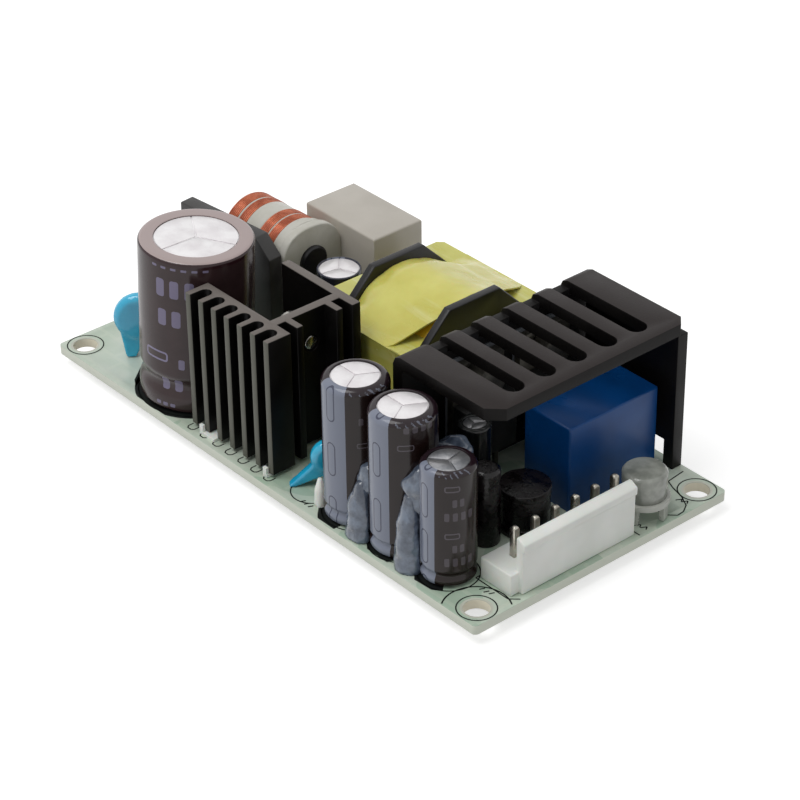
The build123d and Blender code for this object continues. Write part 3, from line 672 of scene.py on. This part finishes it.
# The print's facing, half angle, first pill, pitch and painted shoulder glints; then the leaves' turn and the
# metal.
for name, tones, looks, turn, metal in (
    ("bulk_capacitor", bulk_tones, (-39.8, 0, 0.6, 9.6, 0.0), 30, aluminium),
    ("output_capacitor_a", output_tones, (-86.8, 29, 6.8, 9.4, 1.0), 60, aluminium),
    ("output_capacitor_b", output_tones, (-89.8, 25, 2.25, 9.6, 1.0), 60, aluminium),
    ("output_capacitor_c", output_tones, (-97.8, 27, 2.35, 7.9, 1.0), 100, darker_aluminium),
    ("aux_capacitor", aux_tones, (150, 26, 1.0, 6.0, 0.0), 20, aluminium),
    ("control_capacitor", control_tones, (100, 24, 1.0, 6.0, 0.0), 60, darker_aluminium),
):
    wrapped = capacitor_sleeve(name, sleeve_finish(name, *tones, *looks))
    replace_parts(wrapped, name + "_sleeve")
    topped = capacitor_top(name, turn, metal)
    x, y, *_, lean = sleeve_facts[name]
    if lean:
        lean_over([wrapped, topped], x, y, lean, lean_axis)


# Heatsinks: the primary one is an extruded comb sawn to length, the output one a slotted plate bent
# on a press brake. Both are black anodised; the comb's sawn top ends read grey, and the grey on the
# plate's top and on the comb's fin fronts is painted light.
def make_sawn_ends_and_light():
    """Group: lightens the top faces that look up, with fine saw lines: sawn ends on the comb, painted light
    on the plate. Paints light on the fin tips that face the front.
    """
    starts = {"Vector": None, "Base": (0.02, 0.02, 0.02, 1), "Sawn And Lit Top": (0.2, 0.2, 0.2, 1), "Amount": 1.0}
    starts |= {"Line Scale": 2500.0, "Top": 0.0, "Tip": -1.0, "Lit Tip Tone": (0.15, 0.15, 0.14, 1)}
    tree, given, result = new_group("sawn_ends_and_light", starts, ("Color", "Height"))
    calc, mix = partial(sums, tree), partial(blend_colours, tree)
    spot = node(tree, "SeparateXYZ", {"Vector": given["Vector"]}).outputs
    facing = node(tree, "NewGeometry").outputs["Normal"]
    split = node(tree, "SeparateXYZ", {"Vector": facing}).outputs
    up = node(tree, "MapRange", {"Value": split["Z"], "From Min": 0.55, "From Max": 0.95})
    feeds = {"Vector": given["Vector"], "Scale": given["Line Scale"], "Distortion": 3.0, "Detail": 2.0}
    lines = node(tree, "TexWave", feeds, bands_direction="DIAGONAL").outputs["Fac"]
    soft = calc("ADD", calc("MULTIPLY", lines, 0.22), 0.78)
    mask = calc("MULTIPLY", calc("MULTIPLY", up.outputs["Result"], given["Amount"]), soft)
    mask = calc("MULTIPLY", mask, calc("GREATER_THAN", spot["Z"], given["Top"]))
    # Painted highlight: faces at the front of the fins that look forward take the tip tone.
    tip = calc("LESS_THAN", split["Y"], -0.35)
    tip = calc("MULTIPLY", tip, calc("LESS_THAN", spot["Y"], given["Tip"]))
    tone = mix(mask, mix(tip, given["Base"], given["Lit Tip Tone"]), given["Sawn And Lit Top"])
    feed(tree, result, {"Color": tone, "Height": lines})
    return tree


sawn_ends_and_light = make_sawn_ends_and_light()


def anodised(name, base, other, sawn_and_lit_top, amount, rough, top, tip=-1.0):
    """Black anodised aluminium whose top faces read grey: sawn metal on the comb, painted light on the plate.
    """
    material = finish_of(
        name, "black_anodised", base, other, 120.0, 2600.0, 0.3, rough, 0.12, Specular_IOR_Level=0.14
    )
    tree = material.node_tree
    feeds = {"Vector": object_place(tree), "Base": base_colour(material), "Sawn And Lit Top": sawn_and_lit_top}
    # The tip tone is a painted highlight on the comb's fin fronts.
    feeds |= {"Amount": amount, "Top": top, "Tip": tip, "Lit Tip Tone": ink(98, 98, 90)}
    repaint(material, node(tree, "Group", feeds, node_tree=sawn_ends_and_light).outputs["Color"])
    return material


comb = dress("primary_heatsink", "comb_heatsink", 0.14, 2)
comb_top = max(v.co.z for v in comb.data.vertices)
comb_tip = min(v.co.y for v in comb.data.vertices)
comb_tones = (ink(5, 4, 4), ink(11, 10, 9), ink(122, 115, 110))
comb_ends = (comb_top - 0.4 * mm, comb_tip + 0.6 * mm)
give(comb, anodised("comb_anodising", *comb_tones, 0.95, (0.34, 0.46), *comb_ends))
cover = dress("output_heatsink", "plate_heatsink", 0.34, 3)
cover_top = max(v.co.z for v in cover.data.vertices)
# The plate's third tone is painted light on its top face.
cover_tones = (ink(9, 7, 7), ink(16, 14, 13), ink(44, 38, 37))
give(cover, anodised("plate_anodising", *cover_tones, 0.9, (0.4, 0.5), cover_top - 1.2 * mm))
white_nylon = finish_of(
    "white_nylon", "white_nylon", ink(240, 242, 237), ink(231, 234, 228),
    160.0, 1500.0, 0.2, (0.34, 0.45), 0.05, Subsurface_Weight=0.12, Subsurface_Scale=1 * mm,
)
feet = dress("heatsink_feet", "comb_feet")
feet_end = 2.4
edit_all()
end_cut = {"plane_co": (feet_end * mm, 0, 0), "plane_no": (1, 0, 0)}
bpy.ops.mesh.bisect(**end_cut, use_fill=True, clear_outer=True)
round_off(feet, 0.12)
give(feet, white_nylon)


# Power semiconductors: copper tabs plated with tin, moulded over in black epoxy, screwed through a
# grey silicone pad to the two heatsinks.
tin = finish_of(
    "tin_plate", "tinned", ink(190, 186, 176), ink(150, 146, 136),
    500.0, 3500.0, 0.3, (0.2, 0.36), 0.1, Metallic=1.0,
)
# Painted shade: a darker copy of the tin for the rectifier tabs and screws, which sit under the plate
# heatsink.
shaded_tin = finish_of(
    "shaded_tin", "tinned", ink(70, 67, 59), ink(44, 42, 37),
    500.0, 3500.0, 0.3, (0.4, 0.55), 0.2, Metallic=0.5,
)
epoxy = finish_of(
    "black_epoxy", "black_plastic", ink(22, 22, 22), ink(30, 30, 29),
    300.0, 3000.0, 0.4, (0.42, 0.55), 0.15, Specular_IOR_Level=0.3,
)
pad_grey = finish_of(
    "pad_silicone", "grey_pad", ink(110, 114, 120), ink(96, 100, 106),
    300.0, 3000.0, 0.3, (0.6, 0.7), 0.1,
)
steel = finish_of(
    "screw_steel", "screw_steel", ink(196, 194, 188), ink(150, 148, 142),
    700.0, 4000.0, 0.3, (0.18, 0.32), 0.1, Metallic=1.0,
)
for source, material, bevel in (
    ("transistor_tab", tin, 0.08),
    ("rectifier_tabs", shaded_tin, 0.08),
    ("transistor_body", epoxy, 0.15),
    ("rectifier_bodies", epoxy, 0.15),
    ("transistor_pad", pad_grey, 0.0),
    ("rectifier_pads", pad_grey, 0.0),
    ("transistor_screw", steel, 0.3),
    ("rectifier_screws", shaded_tin, 0.3),
):
    give(dress(source, source + "_finished", bevel, 2, 40), material)


# Transformer: a moulded spool wound with wire under yellow polyester tape, in a ferrite frame.
# More tape ties the frame to the coil, stretched from the coil's crown down to the frame's outer edge.
flange_black = finish_of(
    "flange_resin", "black_plastic", ink(15, 15, 17), ink(24, 23, 26),
    300.0, 2600.0, 0.3, (0.3, 0.42), 0.1, Specular_IOR_Level=0.35,
)
ferrite = finish_of(
    "ferrite", "ferrite", ink(52, 52, 52), ink(40, 40, 40),
    600.0, 3000.0, 0.5, (0.5, 0.65), 0.25,
)
yellow_tape = finish_of(
    "yellow_tape", "yellow_tape", ink(218, 212, 112), ink(200, 192, 88),
    110.0, 300.0, 0.5, (0.16, 0.3), 0.5, Subsurface_Weight=0.1, Subsurface_Scale=1 * mm,
)
under_tape = finish_of(
    "under_tape", "yellow_tape", ink(236, 196, 48), ink(222, 172, 30),
    160.0, 500.0, 0.4, (0.2, 0.34), 0.3,
)
give(dress("transformer_bobbin", "spool", 0.16, 2), flange_black)
give(dress("transformer_core", "ferrite_frame", 0.2, 2), ferrite)


def paint_crease_sheen(material):
    """Adds long pale streaks along the tape's creases: painted sheen on the stretched tape."""
    tree = material.node_tree
    feeds = {"Vector": object_place(tree), "Rotation": (0, 0, 0.5), "Scale": (50, 420, 120)}
    pull = node(tree, "Mapping", feeds).outputs["Vector"]
    feeds = {"Vector": pull, "Scale": 1.0, "Detail": 3.0, "Distortion": 0.6}
    marks = node(tree, "TexNoise", feeds).outputs["Fac"]
    feeds = {"Value": marks, "From Min": 0.54, "From Max": 0.72, "To Max": 0.6}
    strength = node(tree, "MapRange", feeds).outputs["Result"]
    repaint(material, blend_colours(tree, strength, base_colour(material), ink(236, 234, 178)))


paint_crease_sheen(yellow_tape)
# The frame's tape: the band round the frame, and four strips that close it over the frame's top.
band_top, strip_foot, strip_rise = 16.98, 16.6, 0.37
west, coil_west, coil_east, east = -12.55, -7.9, 11.3, 16.15
south, north, corner = -3.75, 24.15, 0.9
band = dress("transformer_tape", "frame_tape")
edit_all()
top_cut = {"plane_co": (0, 0, (deck + band_top) * mm), "plane_no": (0, 0, 1)}
bpy.ops.mesh.bisect(**top_cut, use_fill=True, clear_outer=True)
pick_all()
bpy.ops.mesh.normals_make_consistent(inside=False)
bpy.ops.object.mode_set(mode="OBJECT")
give(band, yellow_tape)
strips = [band]
for outer, inner, bend in ((south, -0.1, south + corner), (north, 20.5, north - corner)):
    corners = ((west, bend), (west + corner, outer), (east - corner, outer), (east, bend))
    corners += ((east, inner), (west, inner))
    outline = [(x, y, strip_foot) for x, y in corners]
    strips.append(plate("strip", outline, (0, 0, strip_rise), yellow_tape))
for left, right in ((west, coil_west), (coil_east, east)):
    corners = ((left, -0.2), (right, -0.2), (right, 20.6), (left, 20.6))
    outline = [(x, y, strip_foot) for x, y in corners]
    strips.append(plate("strip", outline, (0, 0, strip_rise), yellow_tape))
join_pieces(strips, "frame_tape")
coil_y, coil_z = 10.2, 11.4


def spun_x(name, y, z, profile, material, steps=96, smooth=40):
    """A turned piece: (x, radius) points spun about a line along X."""
    piece = open_line(name, (profile[0][0], y, z + profile[0][1]))
    walk([(a, 0, r) for a, r in profile])
    spin_all(steps, 360, (0, y, deck + z), (1, 0, 0))
    tidy_shell()
    return close_piece(piece, material, smooth)


belt = [(-6.4, 5.4), (-6.4, 8.2), (-5.9, 8.6), (-5.0, 8.9), (-3.6, 9.2), (0, 9.8), (3.4, 10.0)]
belt += [(6.6, 9.93), (8.2, 9.8), (9.3, 9.5), (9.8, 8.9), (9.8, 5.4)]
winding = spun_x("taped_winding", coil_y, coil_z, belt, under_tape)
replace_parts(winding, "transformer_winding")
# The sheet over the coil: it leaves the frame at its edge and touches the coil at an angle.
wrap_r, wrap_y, wrap_z = 10.2, -3.8, 16.78
wrap_start, wrap_step, wrap_count = -6.3, 0.8, 19
rise = wrap_z - coil_z
touch = math.atan2(rise, wrap_y - coil_y) - math.acos(wrap_r / math.hypot(rise, wrap_y - coil_y))
meet = math.atan2(rise, -math.sqrt(wrap_r**2 - rise**2))
flat_run = coil_y + wrap_r * math.cos(meet) - wrap_y


def on_coil(angle):
    """A point on the coil's outside, as y and z."""
    return (coil_y + wrap_r * math.cos(angle), coil_z + wrap_r * math.sin(angle))


def wrap_row(x, count=14):
    """The tape's line over the coil at x: sunk onto the coil at -X, stretched straight at +X."""
    snug = 1 - min(max((x - wrap_start) / 4.2, 0.0), 1.0) ** 0.8
    sag = 1.0 * (1 - min(max((x - wrap_start) / 3.4, 0.0), 1.0)) ** 1.2
    skip = min(max((x - 7.0) / 2.6, 0.0), 1.0) * 0.84
    half = []
    crown = on_coil(touch)
    for i in range(count):
        part = skip + (1 - skip) * i / count
        tight = (wrap_y + (crown[0] - wrap_y) * part, wrap_z + (crown[1] - wrap_z) * part)
        run = part * (flat_run + wrap_r * (meet - touch))
        if run < flat_run:
            hugged = (wrap_y + run, wrap_z)
        else:
            hugged = on_coil(meet - (run - flat_run) / wrap_r)
        y = tight[0] + (hugged[0] - tight[0]) * snug
        z = tight[1] + (hugged[1] - tight[1]) * snug
        half.append((y, z - sag * part**3))
    row = [(x, y, z) for y, z in half]
    for i in range(11):
        y, z = on_coil(touch + (math.pi - 2 * touch) * i / 10)
        row.append((x, y, z - sag))
    return row + [(x, 2 * coil_y - y, z) for y, z in reversed(half)]


lines = []
for x in [wrap_start + wrap_step * i for i in range(wrap_count)] + [8.9, 9.68]:
    row = wrap_row(x)
    line = open_line("wrap", row[0])
    walk(row)
    to_object_mode()
    lines.append(line)
coil_wrap = join_pieces(lines, "coil_wrap")
bpy.ops.object.mode_set(mode="EDIT")
bpy.ops.mesh.select_mode(type="EDGE")
pick_all()
bpy.ops.mesh.bridge_edge_loops(type="SINGLE")
pick_all()
bpy.ops.mesh.subdivide(number_cuts=1)
bpy.ops.mesh.normals_make_consistent(inside=False)
ripple = bpy.data.textures.new("ripple", "CLOUDS")
ripple.noise_scale = 4.2 * mm
modify(coil_wrap, "DISPLACE", texture=ripple, strength=0.3 * mm, texture_coords="LOCAL")
modify(coil_wrap, "SOLIDIFY", thickness=0.26 * mm, offset=0)
close_piece(coil_wrap, yellow_tape, 50)


# Common mode choke: enamelled copper wire wound on a moulded spool, with pale tape between its coils
# and a square ended flange that stands on the board. A ferrite rod runs through it.
copper = finish_of(
    "enamelled_copper", "copper", ink(196, 108, 72), ink(156, 74, 42),
    700.0, 3000.0, 0.5, (0.2, 0.34), 0.1, Metallic=0.35,
)
spool_nylon = finish_of(
    "spool_nylon", "white_nylon", ink(204, 202, 194), ink(184, 182, 170),
    200.0, 1500.0, 0.3, (0.34, 0.45), 0.08,
)
choke_y, choke_z, hub = 8.7, 13.1, 2.4
flange_face, flange_wide, flange_tall, board_gap = -28.1, 6.1, 6.35, 0.05
rod = [(-42.2, 0), (-42.2, 2.65), (-25.9, 2.65), (-25.6, 2.35), (-25.6, 0)]
choke_rod = spun_x("choke_rod", choke_y, choke_z + 0.15, rod, flange_black, 48)
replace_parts(choke_rod, "choke_core")
coils = []
for x0, x1, turns, reach in (
    (-42.6, -40.4, 6, 5.65),
    (-39.9, -38.0, 5, 5.7),
    (-34.4, -32.5, 5, 5.8),
    (-32.1, -30.3, 5, 5.85),
):
    wire = (x1 - x0) / turns / 2
    ridge = [(x0, hub), (x0, reach - 0.3)]
    for i in range(turns):
        for k in range(7):
            t = math.pi * k / 6
            ridge.append((x0 + wire * (2 * i + 1) - wire * math.cos(t), reach + wire * math.sin(t)))
    ridge += [(x1, reach - 0.3), (x1, hub)]
    coils.append(spun_x("coil", choke_y, choke_z, ridge, copper, 64, 60))
choke_coils = join_pieces(coils, "choke_coils")
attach(choke_coils, "root")
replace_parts(choke_coils, "choke_windings")
belts = []
for x0, x1, reach in (
    (-40.4, -39.9, 5.76),
    (-38.0, -34.4, 5.85),
    (-32.5, -32.1, 5.92),
    (-30.3, -29.4, 6.0),
    (-29.4, -28.1, 6.3),
):
    ring = [(x0, hub), (x0, reach - 0.12), (x0 + 0.12, reach), (x1 - 0.12, reach)]
    ring += [(x1, reach - 0.12), (x1, hub)]
    belts.append(spun_x("belt", choke_y, choke_z, ring, spool_nylon, 64, 40))
outline = []
for i in range(25):
    t = math.pi * i / 24
    side = math.copysign(abs(math.cos(t)) ** 0.8, math.cos(t)) * flange_wide
    outline.append((flange_face, choke_y + side, choke_z + math.sin(t) ** 0.8 * flange_tall))
outline += [(flange_face, choke_y + side, board_gap) for side in (-flange_wide, flange_wide)]
belts.append(plate("flange", outline, (1.75, 0, 0), spool_nylon, 0.3, 3))
foot = [(x, choke_y - 3, z) for x, z in ((-40.4, board_gap), (-39.9, board_gap), (-39.9, 8.0), (-40.4, 8.0))]
belts.append(plate("foot", foot, (0, 6, 0), spool_nylon, 0.1))
choke_spool = join_pieces(belts, "choke_spool")
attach(choke_spool, "root")
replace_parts(choke_spool, "choke_bobbin")


# Boxed parts: the film capacitor and the relay sit in moulded cases, filled with resin from below,
# and the bridge rectifier is moulded in solid epoxy. Their leads are soldered under the board.
case_grey = finish_of(
    "film_case", "film_box", ink(190, 184, 174), ink(182, 176, 166),
    120.0, 1400.0, 0.25, (0.3, 0.4), 0.06,
)
case_blue = finish_of(
    "relay_case", "relay_blue", ink(6, 74, 140), ink(3, 60, 118),
    90.0, 1200.0, 0.2, (0.26, 0.34), 0.02, Specular_IOR_Level=0.3,
)
bridge_resin = finish_of(
    "bridge_resin", "black_plastic", ink(34, 33, 33), ink(46, 45, 44),
    300.0, 2600.0, 0.5, (0.4, 0.55), 0.15,
)
give(dress("film_capacitor", "film_case", 0.14, 3), case_grey)
give(dress("relay", "relay_case", 0.1, 2), case_blue)
give(dress("bridge_rectifier", "bridge_body", 0.18, 2), bridge_resin)


# Disc capacitors: a silvered ceramic disc with two leads, dipped as one in glossy blue resin, which
# runs down the leads in a drop.
dip_blue = finish_of(
    "dipped_resin", "disc_blue", ink(44, 188, 228), ink(30, 164, 206),
    250.0, 1500.0, 0.3, (0.1, 0.2), 0.1, Coat_Weight=0.4,
)


def melted(piece, grain, passes, lump=0.0, scale=2.0):
    """Runs a piece together into one soft mass: an even net, pushed into lumps and relaxed."""
    modify(piece, "REMESH", mode="VOXEL", voxel_size=grain * mm)
    if lump:
        cloud = bpy.data.textures.new("lumps", "CLOUDS")
        cloud.noise_scale = scale * mm
        push = {"texture": cloud, "texture_coords": "LOCAL", "strength": lump * mm}
        modify(piece, "DISPLACE", **push, mid_level=0.45)
    modify(piece, "SMOOTH", factor=0.6, iterations=passes)
    bpy.ops.object.shade_smooth()


for source, name in (("disc_capacitor_rear", "rear_disc"), ("disc_capacitor_front", "front_disc")):
    drop = dress(source, name)
    melted(drop, 0.22, 9)
    give(drop, dip_blue)


# Headers: white nylon mouldings with square tinned pins pressed through them and soldered below.
# A wall along one side keeps the plug on.
for source, name, material in (
    ("output_header", "output_housing", white_nylon),
    ("input_header", "input_housing", white_nylon),
    ("output_pins", "output_pin_row", tin),
    ("input_pins", "input_pin_row", tin),
):
    give(dress(source, name, 0.2, 3), material)


# Radial fuse: a clear polycarbonate cap snapped over the fuse element, on a moulded base whose
# four legs keep it off the board.
fuse_nylon = finish_of(
    "fuse_base", "fuse_cap", ink(206, 208, 200), ink(190, 192, 184),
    260.0, 1500.0, 0.3, (0.25, 0.35), 0.08, Transmission_Weight=0.2,
)
fuse_clear = finish_of(
    "fuse_cap", "fuse_cap", ink(192, 195, 186), ink(136, 140, 132),
    260.0, 900.0, 0.5, (0.12, 0.2), 0.1, Transmission_Weight=0.3,
)
give(dress("output_fuse_cap", "fuse_cap_finished", 0.12, 2, 40), fuse_clear)
give(dress("output_fuse_base", "fuse_base_finished", 0.08, 2, 40), fuse_nylon)


# Small inductors: a ferrite drum wound with wire in black shrink film, and a rod choke in the same
# film, which crinkles where it shrinks.
black_film = finish_of(
    "black_film", "black_sleeve", ink(7, 5, 6), ink(16, 11, 13),
    700.0, 1300.0, 0.8, (0.16, 0.4), 1.0, Specular_IOR_Level=0.35,
)
give(dress("drum_core", "drum", 0.15, 2, 45), black_film)
give(dress("drum_winding", "drum_coil", 0.0, 2, 45), black_film)
give(dress("rod_inductor", "rod", 0.2, 3, 45), black_film)


# Silicone: translucent adhesive run by hand between the tall capacitors to keep them from shaking
# loose. It sets in soft lumps, with one white dab beside the first capacitor.
silicone = finish_of(
    "silicone", "silicone", ink(126, 140, 160), ink(72, 82, 100),
    520.0, 1100.0, 0.8, (0.04, 0.12), 0.9, Transmission_Weight=0.3, Coat_Weight=0.5,
)
dab_cut = {"plane_co": (18 * mm, 0, 0), "plane_no": (1, 0, 0)}
beads = dress("silicone_beads", "adhesive_beads", smooth=60)
bpy.ops.object.duplicate()
dab = bpy.context.object
dab.name = dab.data.name = "adhesive_dab"
del dab["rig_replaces"]
edit_all()
bpy.ops.mesh.bisect(**dab_cut, clear_outer=True)
to_object_mode()
give(dab, white_nylon)
pick(beads)
edit_all()
bpy.ops.mesh.bisect(**dab_cut, clear_inner=True)
melted(beads, 0.28, 5, 0.7)
give(beads, silicone)
run_a = ((0, 0.2), (2.4, 0.2), (2.7, 2.5), (2.4, 6.0), (2.5, 8.6), (1.4, 11.2), (0, 12.0))
run_b = ((0, 0.2), (2.2, 0.2), (2.3, 3.5), (1.6, 7.5), (2.5, 11.2), (2.6, 13.8), (1.2, 16.2), (0, 16.8))
smear = ((0, 9.0), (2.2, 9.6), (2.9, 12.5), (2.8, 14.6), (1.8, 15.6), (0, 15.9))
for name, x, y, profile in (
    ("adhesive_run_a", 23.3, -20.9, run_a),
    ("adhesive_run_b", 33.9, -20.6, run_b),
    ("adhesive_smear", 31.2, -12.5, smear),
):
    melted(spun(name, x, y, profile, silicone, 24), 0.28, 4, 1.8, 2.6)


# Studio: the camera looks down at the near corner. The floor is plain and pale, and the light is a
# soft sky with one large lamp.
camera_data = bpy.data.cameras.new("camera")
camera_data.lens = 124.886
camera_data.sensor_width = 36
camera_data.clip_start = 0.01
camera = bpy.data.objects.new("camera", camera_data)
bpy.context.scene.collection.objects.link(camera)
right = Vector((0.6523181, 0.7578807, -0.0098943))
down = Vector((0.4026590, -0.3575745, -0.8426187))
ahead = Vector((-0.6421424, 0.5456714, -0.5384198))
turn = Matrix((right, -down, -ahead)).transposed().to_4x4()
camera.matrix_world = Matrix.Translation((0.2802953, -0.2336892, 0.2393622)) @ turn
bpy.context.scene.camera = camera

lamp_data = bpy.data.lights.new("key_lamp", "AREA")
lamp_data.size = 0.5
lamp_data.energy = 3.5
key_lamp = bpy.data.objects.new("key_lamp", lamp_data)
bpy.context.scene.collection.objects.link(key_lamp)
key_lamp.location = (-0.12, -0.32, 0.8)
key_lamp.rotation_euler = (-key_lamp.location).to_track_quat("-Z", "Y").to_euler()

sky_light, floor_tone = 0.47, 0.62


def seen(tree):
    """A mask that is 1 for the camera, in gloss and through clear pieces."""
    rays = node(tree, "LightPath").outputs
    bent = sums(tree, "MAXIMUM", rays["Is Glossy Ray"], rays["Is Transmission Ray"])
    return sums(tree, "MAXIMUM", rays["Is Camera Ray"], bent)


world = bpy.data.worlds.new("studio")
bpy.context.scene.world = world
world.use_nodes = True
tree = world.node_tree
strength = sums(tree, "ADD", sums(tree, "MULTIPLY", seen(tree), 1 - sky_light), sky_light)
feed(tree, tree.nodes["Background"].inputs, {"Color": (1, 1, 1, 1), "Strength": strength})

floor_white = bpy.data.materials.new("studio_floor")
floor_white.use_nodes = True
tree = floor_white.node_tree
feeds = {"Base Color": (floor_tone, floor_tone, floor_tone, 1), "Roughness": 0.8}
feeds |= {"Emission Color": (1, 1, 1, 1), "Emission Strength": sums(tree, "MULTIPLY", seen(tree), floor_tone)}
feed(tree, tree.nodes["Principled BSDF"].inputs, feeds)
to_object_mode()
bpy.ops.mesh.primitive_plane_add(size=6, location=(0, 0, 0))
floor = bpy.context.object
floor.name = floor.data.name = "floor"
give(floor, floor_white)

bpy.context.scene.view_settings.view_transform = "Standard"
